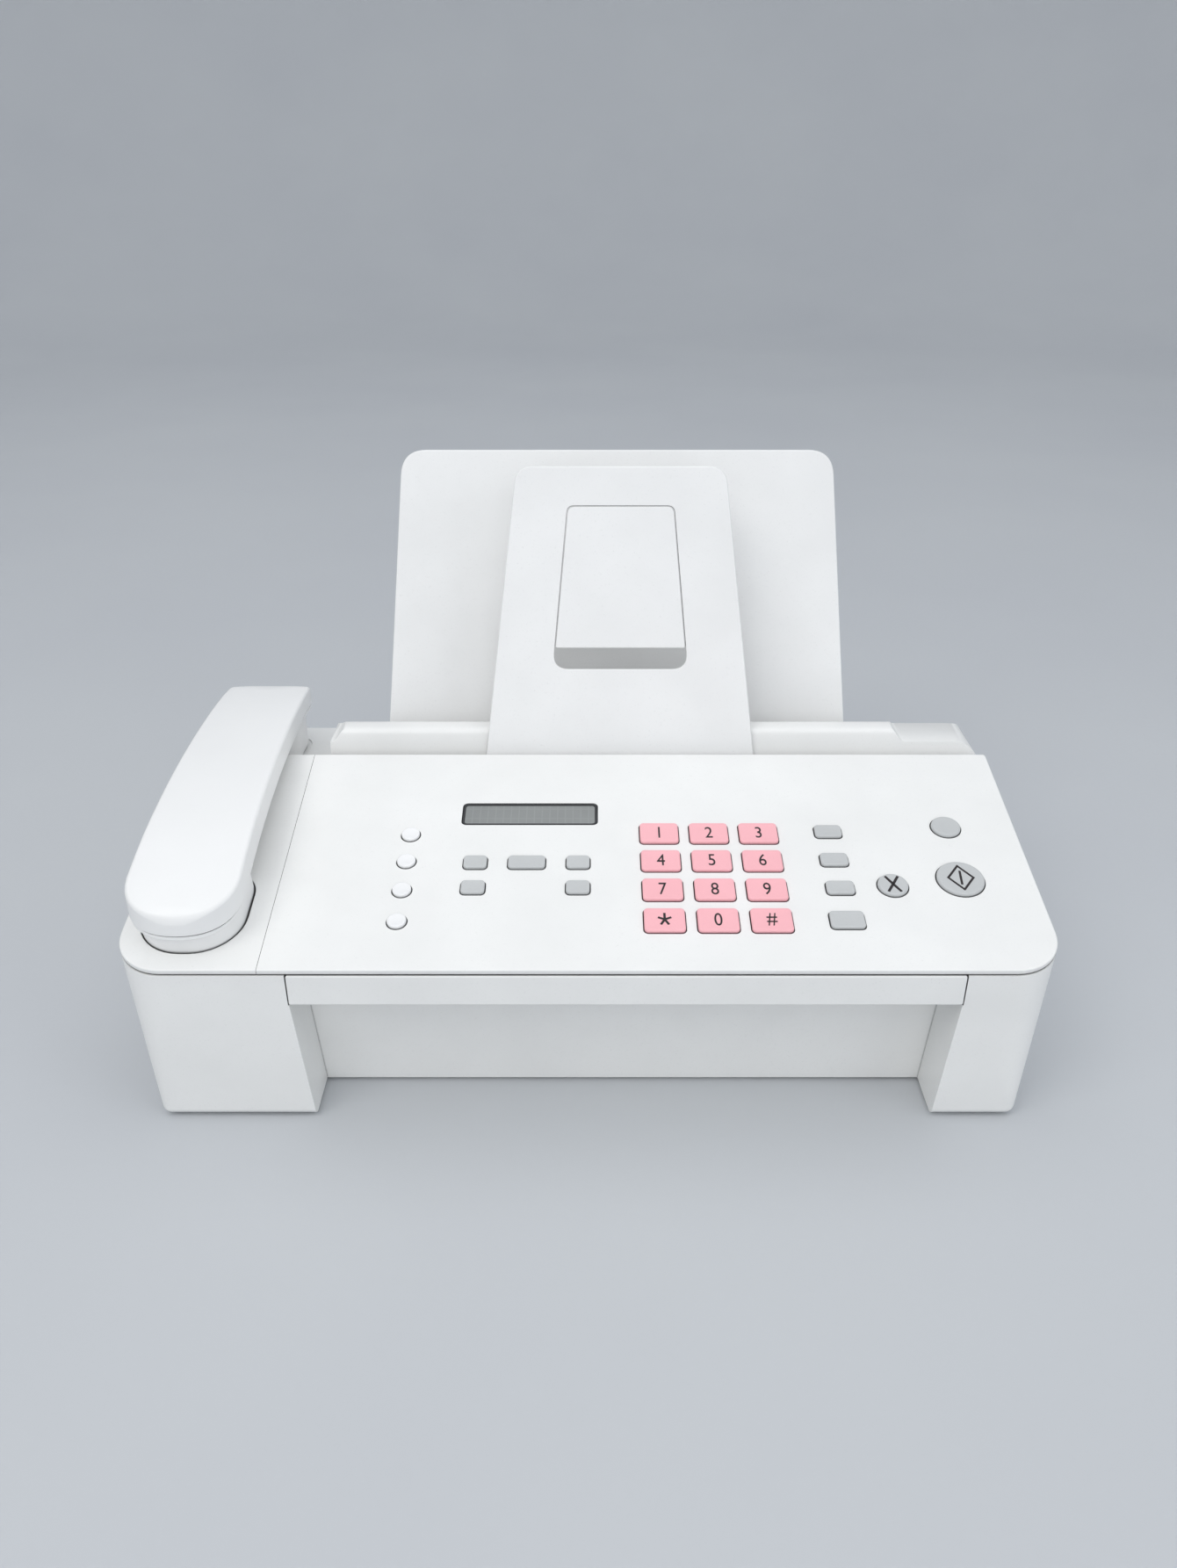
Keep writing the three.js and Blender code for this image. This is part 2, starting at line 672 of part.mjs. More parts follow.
function windowShape(grow, low, high, lowRadius) {
  const highRadius = 3;
  const slope = (FLAP.halfLow - FLAP.halfHigh) / (FLAP.high - FLAP.low);
  const half = (u) => FLAP.halfLow - slope * (u - FLAP.low) + grow;
  const r = lowRadius;
  const shape = new THREE.Shape();
  shape.moveTo(DOC.centre - half(low) + r, low);
  shape.lineTo(DOC.centre + half(low) - r, low);
  shape.quadraticCurveTo(DOC.centre + half(low), low, DOC.centre + half(low + r), low + r);
  const belowCorner = high - highRadius;
  shape.lineTo(DOC.centre + half(belowCorner), belowCorner);
  shape.quadraticCurveTo(DOC.centre + half(high), high, DOC.centre + half(high) - highRadius, high);
  shape.lineTo(DOC.centre - half(high) + highRadius, high);
  shape.quadraticCurveTo(DOC.centre - half(high), high, DOC.centre - half(belowCorner), belowCorner);
  shape.lineTo(DOC.centre - half(low + r), low + r);
  shape.quadraticCurveTo(DOC.centre - half(low), low, DOC.centre - half(low) + r, low);
  return shape;
}

const documentFrame = leaningFrame(DOC.y, DOC.z, DOC_LEAN);
function documentSupport() {
  const plate = prism(taperedPlate(DOC), -PLATE, 0, 4);
  const opening = prism(windowShape(0, FLAP.scoop, FLAP.high + GAP, 7.5), -PLATE - 1, 1, 4);
  return cut(plate, opening);
}
piece("document_support", documentSupport(), WHITE, documentFrame);
const flap = prism(windowShape(-GAP, FLAP.low, FLAP.high, 0.8), -PLATE, 0, 2);
piece("support_flap", flap, WHITE, documentFrame);

const paperFrame = leaningFrame(PAPER.y, PAPER.z, PAPER_LEAN);
function paperSupport() {
  const { x0, x1, low, high, cross, proud, thick } = PAPER_RIBS;
  const rib = (left, right, bottom, top) =>
    box(left, right, bottom, top, -PLATE - proud, -PLATE + 0.5);
  const upright = (x) => rib(x - thick / 2, x + thick / 2, low, high);
  const plate = prism(taperedPlate(PAPER), -PLATE, 0, 4);
  return join(plate, upright(x0), upright(x1), rib(x0, x1, cross - thick / 2, cross + thick / 2));
}
piece("paper_support", paperSupport(), WHITE, paperFrame);

// ---------- paper path and drive ----------
function roller(shaft, radius, x0, x1, end = CHASSIS_RIGHT + UPRIGHT + 2) {
  const { y, z } = shaft;
  return join(rod(shaft.radius, CHASSIS_LEFT - 2, end, y, z, 12), rod(radius, x0, x1, y, z, 20));
}
const GEAR_X = 153;
const GEAR_WIDTH = 5;
piece("document_roller", roller(shafts.document, 6.5, -84, 112), RUBBER);
piece("paper_roller", roller(shafts.paper, 12, -60, 88, GEAR_X + GEAR_WIDTH + 4), RUBBER);
piece("exit_roller", roller(shafts.exit, 6.5, -96, 124), RUBBER);
const rail = shafts.carriage;
const railRod = rod(rail.radius, CHASSIS_LEFT - 2, CHASSIS_RIGHT + UPRIGHT + 2, rail.y, rail.z, 12);
piece("carriage_rod", railRod, STEEL);
piece("scanner_bar", box(CHASSIS_LEFT + UPRIGHT + GAP, CHASSIS_RIGHT - GAP, 98, 110, 64, 73), BLACK);

function inkCarriage() {
  const cartridge = box(99, 139, 60, 84, 34, 64);
  const tub = box(96, 142, 58, 102, 30, 54);
  return cut(join(tub, cartridge), rod(rail.radius + GAP, 90, 150, rail.y, rail.z));
}
piece("ink_carriage", inkCarriage(), BLACK);

function gear(teeth, width, bore, turn) {
  const pitch = (GEAR_MODULE * teeth) / 2;
  const tip = pitch + 0.85 * GEAR_MODULE;
  const root = pitch - 1.2 * GEAR_MODULE;
  const halfThickness = (0.23 * 2 * Math.PI) / teeth;
  const outline = [];
  for (let i = 0; i < teeth; i++) {
    const middle = turn + (i * 2 * Math.PI) / teeth;
    const flank = [
      [root, -1.5],
      [tip, -0.45],
      [tip, 0.45],
      [root, 1.5],
    ];
    for (const [r, share] of flank) {
      const angle = middle + share * halfThickness;
      outline.push([r * Math.cos(angle), r * Math.sin(angle)]);
    }
  }
  const shape = polygon(...outline);
  const hole = new THREE.Path();
  hole.absarc(0, 0, bore, 0, 2 * Math.PI, true);
  if (bore) shape.holes.push(hole);
  return sideProfile(shape, 0, width, 5);
}
const towardsPinion = Math.atan2(motorAxis.z - shafts.paper.z, motorAxis.y - shafts.paper.y);
const feedGear = gear(GEAR_TEETH, GEAR_WIDTH, shafts.paper.radius + GAP, towardsPinion);
piece("feed_gear", feedGear, NYLON).position.set(GEAR_X, shafts.paper.y, shafts.paper.z);
const halfTooth = Math.PI / PINION_TEETH;
const pinion = gear(PINION_TEETH, GEAR_WIDTH, 0, towardsPinion + Math.PI + halfTooth);
piece("motor_pinion", join(pinion, rod(MOTOR.shaft, -20, GEAR_WIDTH + 1, 0, 0, 12)), NYLON).position.set(
  GEAR_X,
  motorAxis.y,
  motorAxis.z,
);
function feedMotor() {
  const { y, z } = motorAxis;
  const can = rod(MOTOR.can, MOTOR.left, CHASSIS_RIGHT - GAP, y, z, 20);
  const boss = rod(MOTOR.boss, CHASSIS_RIGHT - 1, CHASSIS_RIGHT + 2, y, z, 20);
  return cut(join(can, boss), rod(MOTOR.shaft + GAP, 130, 160, y, z, 12));
}
piece("feed_motor", feedMotor(), STEEL);

// ---------- electronics ----------
// A board with its parts, each as left, front, width, length and height above the board.
function circuitBoard(x0, x1, y0, y1, parts) {
  const top = BOARD_Z + 1.6;
  const raised = parts.map(([x, y, width, length, height]) =>
    box(x, x + width, y, y + length, top - 0.6, top + height),
  );
  return join(box(x0, x1, y0, y1, BOARD_Z, top), ...raised);
}
piece(
  "main_board",
  circuitBoard(-104, 92, 40, 142, [
    [-60, 70, 22, 22, 1.6],
    [-10, 76, 14, 10, 1.4],
    [30, 60, 18, 26, 1.4],
    [-90, 128, 40, 6, 7],
    [10, 128, 30, 6, 7],
  ]),
  BOARD,
);
piece(
  "power_board",
  circuitBoard(-170, -124, 92, 174, [
    [-160, 104, 24, 20, 18],
    [-160, 134, 12, 12, 22],
    [-140, 150, 10, 16, 14],
  ]),
  BOARD,
);

function speaker() {
  const cone = [
    [0, 0],
    [9, 0],
    [9, 7],
    [17, 12],
    [18.5, 12],
    [18.5, 14],
    [15, 14],
    [6, 8],
    [0, 8],
  ].map(([r, h]) => new THREE.Vector2(r, h));
  return solid(new THREE.LatheGeometry(cone, 16).rotateZ(Math.PI / 2));
}
piece("speaker", speaker(), BLACK).position.set(-156, 43.5, 28);

function jackBlock() {
  const { x0, x1, z0, z1 } = JACK;
  const body = box(x0, x1, 174, 190, z0, z1);
  const portWidth = 11.6;
  const side = 4;
  const port = (x) => box(x, x + portWidth, 178, 195, z0 + 4, z1 - 5);
  return cut(body, port(x0 + side), port(x1 - side - portWidth));
}
piece("jack_block", jackBlock(), BLACK);

function powerInlet() {
  const { x0, x1, z0, z1 } = INLET;
  const socket = prism(rectangle(x0 + 3, x1 - 3, z0 + 3.5, z1 - 3.5, 5), 0, 14, 3);
  const body = box(x0, x1, 174, 190, z0, z1);
  const mouth = solid(geometryOf(socket).rotateX(Math.PI / 2).translate(0, 195, 0));
  return cut(body, mouth);
}
piece("power_inlet", powerInlet(), BLACK);

// ---------- origin at the middle of the underside ----------
machine.updateMatrixWorld(true);
const extent = new THREE.Box3().setFromObject(machine, true);
const group = new THREE.Group();
machine.position.set(0, -(extent.min.y + extent.max.y) / 2, 0);
group.add(machine);

export default group;
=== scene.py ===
"""Looks of the desktop fax machine: fine pieces, materials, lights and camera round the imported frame."""

import math

import bmesh
import bpy
from mathutils import Matrix, Vector
from mathutils.geometry import tessellate_polygon


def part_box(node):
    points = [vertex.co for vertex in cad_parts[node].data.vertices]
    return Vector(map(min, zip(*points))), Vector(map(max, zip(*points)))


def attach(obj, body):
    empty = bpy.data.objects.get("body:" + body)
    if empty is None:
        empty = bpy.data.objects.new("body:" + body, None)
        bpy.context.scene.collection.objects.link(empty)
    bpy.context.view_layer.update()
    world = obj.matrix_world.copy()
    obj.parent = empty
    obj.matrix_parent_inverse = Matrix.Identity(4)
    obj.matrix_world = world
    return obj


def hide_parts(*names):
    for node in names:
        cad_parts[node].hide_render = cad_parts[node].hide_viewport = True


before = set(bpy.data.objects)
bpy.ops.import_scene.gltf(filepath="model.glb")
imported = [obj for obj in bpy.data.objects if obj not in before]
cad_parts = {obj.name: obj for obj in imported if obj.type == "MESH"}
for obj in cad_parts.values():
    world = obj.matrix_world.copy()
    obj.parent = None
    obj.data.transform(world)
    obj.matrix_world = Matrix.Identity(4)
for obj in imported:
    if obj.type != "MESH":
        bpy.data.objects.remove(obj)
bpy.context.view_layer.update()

# ---------- driving dimensions, in millimetres unless named otherwise ----------
MM = 0.001
GAP = 0.4  # between neighbouring pieces
WALL = 2.6  # moulded casing wall
HALF_WIDTH = 185  # deck and upper casing
HALF_BASE = 176  # casing at the bottom
FRONT_CORNER = 20
REAR_CORNER = 10
BODY_DEPTH = 192
FOOT_LIFT = 1.3  # casing above the table
DECK_FRONT_Z = 76
DECK_DEPTH = 130
DECK_SLOPE = math.radians(12)
DECK_THICK = 2.4
DECK_LENGTH = DECK_DEPTH / math.cos(DECK_SLOPE)
REAR_SEAT_Z = 84  # casing edge that carries the rear cover and the shelf
SEAM_X = -127.6  # between the handset cradle and the opening panel
REAR_COVER_LEFT = -122
RECESS = {"left": -116.8, "right": 145.9, "draw_in": 5.6, "top": 59, "depth": 24.5}
EXIT_SLOT = {"left": -98, "right": 126, "low": 42, "high": 54}
CHASSIS_LEFT = -119
CHASSIS_RIGHT = 147
UPRIGHT = 3  # thickness of the two uprights that carry the shafts
SHELF_TOP = 88  # where the ear end of the handset rests
RIDGE_Z = 111
SHOULDER_Z = 105.5
HOPPER = {"left": -101, "right": 129, "front": 152.6, "back": 178, "low": 72}
KEY_PROUD = 1.4  # key tops above the deck
KEY_DEPTH = 4.4  # key bottoms below the deck
KEY_GAP = 0.35
PLATE = 2.6  # thickness of both paper supports
BOARD_Z = 10
HANDSET_X = -158

# ---------- frames: local millimetres to the row frame in metres ----------
MACHINE = Matrix.Translation((0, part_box("lower_casing")[0].y, 0)) @ Matrix.Scale(MM, 4)


def leaning(x, y, z, tilt):
    """Local X across, Y up a surface tilted back from the horizontal by tilt, Z out of it."""
    return MACHINE @ Matrix.Translation((x, y, z)) @ Matrix.Rotation(tilt, 4, "X")


DECK = leaning(0, 0, DECK_FRONT_Z, DECK_SLOPE)
UPRIGHT_TURN = Matrix.Rotation(math.pi / 2, 4, "X")  # stands a flat shape up; its -Z becomes +Y
DOC_FRAME = leaning(0, 134.6, 101, math.radians(90 - 20))
PAPER_FRAME = leaning(0, 169.6, 100.5, math.radians(90 - 22))


def deck_height(y):
    return DECK_FRONT_Z + y * math.tan(DECK_SLOPE)


# ---------- outlines: closed loops of (x, y), anticlockwise ----------
def arc(cx, cy, r, start, end, steps):
    """Points on an arc, angles in degrees."""
    turn = [math.radians(start + (end - start) * i / steps) for i in range(steps + 1)]
    return [(cx + r * math.cos(a), cy + r * math.sin(a)) for a in turn]


def rounded(x0, x1, y0, y1, radii=0.0, steps=6):
    """A rectangle; radii are for front left, front right, rear right and rear left."""
    r = radii if isinstance(radii, (list, tuple)) else [radii] * 4
    loop = []
    corners = [(x0, y0, 1, 1), (x1, y0, -1, 1), (x1, y1, -1, -1), (x0, y1, 1, -1)]
    for i, (x, y, inx, iny) in enumerate(corners):
        if r[i] > 0:
            loop += arc(x + inx * r[i], y + iny * r[i], r[i], 180 + 90 * i, 270 + 90 * i, steps)
        else:
            loop.append((x, y))
    return loop


def framed(sides, grow=0.0, radii=0.0, steps=6):
    """A rectangle from the four named sides of a dictionary, moved outwards by grow."""
    x0, x1, y0, y1 = sides.values()
    return rounded(x0 - grow, x1 + grow, y0 - grow, y1 + grow, radii, steps)


def circle(cx, cy, r, steps=32):
    return arc(cx, cy, r, 0, 360 * (steps - 1) / steps, steps - 1)


def bezier(a, b, c, d, steps=8):
    """Points on a cubic curve, its start left out."""
    a, b, c, d = map(Vector, (a, b, c, d))
    points = []
    for i in range(1, steps + 1):
        t = i / steps
        p = a * (1 - t) ** 3 + b * 3 * t * (1 - t) ** 2 + c * 3 * t * t * (1 - t) + d * t**3
        points.append(tuple(p))
    return points


def bend(a, b, c, steps=6):
    """Points on a quadratic curve, its start left out."""
    a, b, c = map(Vector, (a, b, c))
    shares = [i / steps for i in range(1, steps + 1)]
    return [tuple(a * (1 - t) ** 2 + b * 2 * t * (1 - t) + c * t * t) for t in shares]


def spline(points, steps=12):
    """A smooth Catmull-Rom curve through the points."""
    ends = [points[0], *points, points[-1]]
    made = [points[0]]
    for i in range(1, len(points)):
        p0, p1, p2, p3 = (Vector(ends[i + k - 1]) for k in range(4))
        for k in range(1, steps + 1):
            t = k / steps
            v0, v1 = (p2 - p0) / 2, (p3 - p1) / 2
            a, b = 2 * p1 - 2 * p2 + v0 + v1, -3 * p1 + 3 * p2 - 2 * v0 - v1
            made.append(tuple(a * t**3 + b * t * t + v0 * t + p1))
    return made


def height_on(curve, y):
    """Height of a curve of (y, z) points at y."""
    for (y0, z0), (y1, z1) in zip(curve, curve[1:]):
        low, high = min(y0, y1), max(y0, y1)
        if low <= y <= high and high > low:
            return z0 + (z1 - z0) * (y - y0) / (y1 - y0)
    ends = sorted(curve)
    return ends[0][1] if y < ends[0][0] else ends[-1][1]


def grown(loop, d):
    """The loop moved outwards by d, mitred at its points."""
    moved = []
    for i, (x, y) in enumerate(loop):
        before, after = loop[i - 1], loop[(i + 1) % len(loop)]
        e1 = Vector((x - before[0], y - before[1])).normalized()
        e2 = Vector((after[0] - x, after[1] - y)).normalized()
        n1, n2 = Vector((e1.y, -e1.x)), Vector((e2.y, -e2.x))
        reach = d / max(0.3, 1 + n1.dot(n2))
        moved.append((x + (n1.x + n2.x) * reach, y + (n1.y + n2.y) * reach))
    return moved


def mirrored(right, centre):
    """A right-hand line followed by its mirror image, back to the start."""
    return right + [(2 * centre - x, y) for x, y in reversed(right)]


def scaled(loop, share):
    """The loop drawn in towards its middle."""
    cx = (min(p[0] for p in loop) + max(p[0] for p in loop)) / 2
    cy = (min(p[1] for p in loop) + max(p[1] for p in loop)) / 2
    return [(cx + (x - cx) * share, cy + (y - cy) * share) for x, y in loop]


# ---------- solids ----------
def linked(name, data):
    """An object for the data, put in the scene."""
    obj = bpy.data.objects.new(name, data)
    bpy.context.scene.collection.objects.link(obj)
    return obj


def thing(points, faces, name="shape"):
    """A mesh object from points and faces."""
    mesh = bpy.data.meshes.new(name)
    mesh.from_pydata([tuple(p) for p in points], [], faces)
    mesh.validate()
    return linked(name, mesh)


def mended(obj, merge=0.0):
    """The object with its faces all turned outwards, and points closer than merge joined."""
    work = bmesh.new()
    work.from_mesh(obj.data)
    if merge:
        bmesh.ops.remove_doubles(work, verts=work.verts, dist=merge)
        bmesh.ops.dissolve_degenerate(work, edges=work.edges, dist=merge)
    bmesh.ops.recalc_face_normals(work, faces=work.faces)
    work.to_mesh(obj.data)
    work.free()
    return obj


def bands(levels, count, closed=False):
    """Quads between rings of count points, and from the last ring to the first where closed."""
    faces = []
    for level in range(levels if closed else levels - 1):
        low, high = level * count, (level + 1) % levels * count
        for i in range(count):
            j = (i + 1) % count
            faces.append((low + i, low + j, high + j, high + i))
    return faces


def skin(rings):
    """A closed skin through rings of equally many points, the ends capped."""
    count = len(rings[0])
    faces = bands(len(rings), count)
    faces.append(tuple(range(count - 1, -1, -1)))
    last = (len(rings) - 1) * count
    faces.append(tuple(last + i for i in range(count)))
    return thing([p for ring in rings for p in ring], faces)


def stack(loop, profile):
    """A skin that rises through (growth, height) pairs of one loop."""
    return skin([[(x, y, z) for x, y in grown(loop, grow)] for grow, z in profile])


def quarter(radius, steps=3):
    """(inset, rise) pairs of a quarter round, from the flat to the wall."""
    turn = [math.pi / 2 * i / steps for i in range(steps + 1)]
    return [(radius * (1 - math.sin(a)), radius * (1 - math.cos(a))) for a in turn]


def plate(outer, holes, low, high, soft=0.4, hole_soft=None, steps=3):
    """A flat plate with holes, every edge of it rounded."""
    hole_soft = soft if hole_soft is None else hole_soft
    points, faces, caps = [], [], {"low": [], "high": []}
    for loop, radius, side in [(outer, soft, -1)] + [(h, hole_soft, 1) for h in holes]:
        rises = quarter(radius, steps)
        profile = [(inset, low + rise) for inset, rise in rises]
        profile += [(inset, high - rise) for inset, rise in reversed(rises)]
        base, count = len(points), len(loop)
        for inset, z in profile:
            points += [(x, y, z) for x, y in grown(loop, side * inset)]
        for level in range(len(profile) - 1):
            for i in range(count):
                j = (i + 1) % count
                a, b = base + level * count, base + (level + 1) * count
                wall = (a + i, a + j, b + j, b + i)
                faces.append(wall if side < 0 else wall[::-1])
        caps["low"].append(list(range(base, base + count)))
        top = base + (len(profile) - 1) * count
        caps["high"].append(list(range(top, top + count)))
    for key, up in (("low", False), ("high", True)):
        order = [i for ring in caps[key] for i in ring]
        flat = [[Vector((points[i][0], points[i][1], 0)) for i in ring] for ring in caps[key]]
        for triangle in tessellate_polygon(flat):
            a, b, c = (Vector(points[order[t]]) for t in triangle)
            turned = (b - a).cross(c - a).z > 0
            face = tuple(order[t] for t in triangle)
            faces.append(face if turned == up else face[::-1])
    return mended(thing(points, faces))


AXES = {
    "xy": lambda a, b, h: (a, b, h),
    "yz": lambda a, b, h: (h, a, b),
    "xz": lambda a, b, h: (a, -h, b),
}


def prism(loop, low, high, plane="xy"):
    """A loop in the named plane, drawn out from low to high across it."""
    if plane == "xz":
        low, high = -high, -low
    place = AXES[plane]
    return skin([[place(a, b, h) for a, b in loop] for h in (low, high)])


def block(x0, x1, y0, y1, z0, z1):
    return prism([(x0, y0), (x1, y0), (x1, y1), (x0, y1)], z0, z1)


def rod(radius, x0, x1, y, z, sides=24):
    return prism(circle(y, z, radius, sides), x0, x1, "yz")


def post(radius, x, y, z0, z1, sides=24):
    return prism(circle(x, y, radius, sides), z0, z1)


def modified(obj, name, kind, **settings):
    """Adds a modifier with its settings."""
    modifier = obj.modifiers.new(name, kind)
    for key, value in settings.items():
        setattr(modifier, key, value)


def boolean(base, operation, tools):
    """The base with every tool applied to it and used up."""
    for tool in tools:
        modified(base, "step", "BOOLEAN", operation=operation, solver="MANIFOLD", object=tool)
    bpy.context.view_layer.update()
    made = base.evaluated_get(bpy.context.evaluated_depsgraph_get())
    shape = bpy.data.meshes.new_from_object(made)
    base.modifiers.clear()
    base.data = shape
    for tool in tools:
        bpy.data.objects.remove(tool)
    return base


def cut(base, *tools):
    return boolean(base, "DIFFERENCE", tools)


def join(base, *tools):
    return boolean(base, "UNION", tools)


def common(base, *tools):
    return boolean(base, "INTERSECT", tools)


def placed(obj, matrix):
    """The object with its points moved by the matrix."""
    obj.data.transform(matrix)
    return obj


def together(*objs):
    """One object from several that don't touch."""
    points, faces = [], []
    for obj in objs:
        base = len(points)
        points += [v.co.copy() for v in obj.data.vertices]
        faces += [tuple(base + i for i in p.vertices) for p in obj.data.polygons]
        bpy.data.objects.remove(obj)
    return thing(points, faces)


# ---------- materials ----------
def shade(value):
    """A colour written as 0xRRGGBB, as the linear values that a shader takes."""
    parts = [(value >> shift & 255) / 255 for shift in (16, 8, 0)]
    linear = [c / 12.92 if c <= 0.04045 else ((c + 0.055) / 1.055) ** 2.4 for c in parts]
    return (*linear, 1.0)


class Nodes:
    """A material's node tree, built one node at a time."""

    def __init__(self, name):
        self.material = bpy.data.materials.new(name)
        self.material.use_nodes = True
        self.tree = self.material.node_tree
        self.shader = self.tree.nodes["Principled BSDF"]
        self.place = self.add("ShaderNodeTexCoord").outputs["Object"]

    def add(self, kind, values=None, **settings):
        """A node with its settings, and values for its sockets by name."""
        node = self.tree.nodes.new(kind)
        for key, value in settings.items():
            setattr(node, key, value)
        for socket, value in (values or {}).items():
            node.inputs[socket].default_value = value
        return node

    def link(self, source, target):
        self.tree.links.new(source, target)

    def noise(self, scale, detail=2.0, stretch=(1, 1, 1), rough=0.5):
        """Noise over the object, its grain about 1 / scale metres."""
        mapping = self.add("ShaderNodeMapping", {"Scale": stretch})
        self.link(self.place, mapping.inputs["Vector"])
        node = self.add("ShaderNodeTexNoise", {"Scale": scale, "Detail": detail, "Roughness": rough})
        self.link(mapping.outputs["Vector"], node.inputs["Vector"])
        return node.outputs["Fac"]

    def spread(self, source, low, high, from_low=0.3, from_high=0.7):
        """The source's range mapped to low..high."""
        ends = {"From Min": from_low, "From Max": from_high, "To Min": low, "To Max": high}
        node = self.add("ShaderNodeMapRange", ends)
        self.link(source, node.inputs["Value"])
        return node.outputs["Result"]

    def blend(self, factor, first, second):
        """A colour between first and second, each a colour or a socket."""
        node = self.add("ShaderNodeMix", data_type="RGBA")
        self.link(factor, node.inputs["Factor"])
        for socket, value in ((node.inputs[6], first), (node.inputs[7], second)):
            if isinstance(value, bpy.types.NodeSocket):
                self.link(value, socket)
            else:
                socket.default_value = value
        return node.outputs[2]

    def edges(self, radius):
        """Near 1 on edges rounder than the radius in metres, 0 on flats."""
        rounded_normal = self.add("ShaderNodeBevel", {"Radius": radius}, samples=4)
        geometry = self.add("ShaderNodeNewGeometry")
        dot = self.add("ShaderNodeVectorMath", operation="DOT_PRODUCT")
        self.link(rounded_normal.outputs["Normal"], dot.inputs[0])
        self.link(geometry.outputs["Normal"], dot.inputs[1])
        return self.spread(dot.outputs["Value"], 1.0, 0.0, 0.86, 0.995)

    def painted_crevice_shade(self, reach):
        """Near 1 in gaps and corners narrower than the reach in metres, found by ambient occlusion: the mask
        for painted shade that draws the seams as dark lines.
        """
        shadow = self.add("ShaderNodeAmbientOcclusion", {"Distance": reach}, samples=6)
        return self.spread(shadow.outputs["AO"], 1.0, 0.0, 0.3, 0.72)

    def bump(self, source, height, strength=1.0, below=None):
        """Relief of the given height in metres, on top of any relief below it."""
        node = self.add("ShaderNodeBump", {"Strength": strength, "Distance": height})
        self.link(source, node.inputs["Height"])
        if below is not None:
            self.link(below, node.inputs["Normal"])
        return node.outputs["Normal"]

    def finish(self, colour=None, roughness=None, normal=None, **constants):
        for socket, source in (("Base Color", colour), ("Roughness", roughness), ("Normal", normal)):
            if source is not None:
                self.link(source, self.shader.inputs[socket])
        for name, value in constants.items():
            self.shader.inputs[name.replace("_", " ")].default_value = value
        return self.material


def tinted(colour, share):
    """The colour made lighter or darker by a share."""
    return (*(min(1.0, c * (1 + share)) for c in colour[:3]), 1.0)


def moulded(name, value, rough, grain=2600.0, relief=0.00003, mottle=0.025, edge_highlight=0.03, **constants):
    """Moulded plastic: fine spark texture, faint mottling, edges polished and given a painted highlight that
    makes them a little lighter, gaps and corners given painted shade.
    """
    n = Nodes(name)
    colour = shade(value)
    broad = n.noise(26.0, 4.0)
    body = n.blend(n.spread(broad, 0.0, 1.0), tinted(colour, -mottle), tinted(colour, mottle))
    specks = n.spread(n.noise(grain * 0.55, 1.0), 0.0, 1.0, 0.62, 0.8)
    body = n.blend(specks, body, tinted(colour, -2.2 * mottle))
    edge = n.edges(0.0007)
    # painted highlight: rounded edges tinted a little lighter than the flats
    body = n.blend(edge, body, tinted(colour, edge_highlight))
    # painted shade: gaps and corners found by ambient occlusion are darkened almost to black
    body = n.blend(n.painted_crevice_shade(0.0013), body, tinted(colour, -0.9))
    fine = n.noise(grain, 2.0)
    gloss = n.spread(n.noise(60.0, 3.0), rough - 0.04, rough + 0.05)
    polish = n.add("ShaderNodeMath", operation="MULTIPLY_ADD")
    n.link(edge, polish.inputs[0])
    polish.inputs[1].default_value = -0.12
    n.link(gloss, polish.inputs[2])
    normal = n.bump(n.noise(9.0, 1.0), 0.00012, 0.35)
    normal = n.bump(fine, relief, 0.6, normal)
    return n.finish(body, polish.outputs[0], normal, **constants)


def rubber(name, value, rough, ground=False):
    """Rubber or silicone, ground in fine rings round X where it is a roller."""
    n = Nodes(name)
    colour = shade(value)
    dust = n.spread(n.noise(70.0, 5.0, rough=0.65), 0.0, 1.0, 0.45, 0.75)
    body = n.blend(dust, colour, tinted(colour, 0.55))
    stretch = (1, 0.05, 0.05) if ground else (1, 1, 1)
    normal = n.bump(n.noise(2400.0, 2.0, stretch), 0.00004, 0.7)
    return n.finish(body, n.spread(n.noise(300.0), rough - 0.08, rough + 0.06), normal)


def metal(name, value, rough, stretch, **constants):
    """Metal with drawn or ground scratches; stretch is small along the scratches."""
    n = Nodes(name)
    colour = shade(value)
    lines = n.noise(1500.0, 3.0, stretch)
    body = n.blend(n.spread(lines, 0.0, 1.0), tinted(colour, -0.12), tinted(colour, 0.08))
    stain = n.spread(n.noise(40.0, 4.0), 0.0, 0.5, 0.5, 0.8)
    body = n.blend(stain, body, tinted(colour, -0.25))
    gloss = n.spread(lines, rough - 0.07, rough + 0.1)
    return n.finish(body, gloss, n.bump(lines, 0.00001, 0.5), Metallic=1.0, **constants)


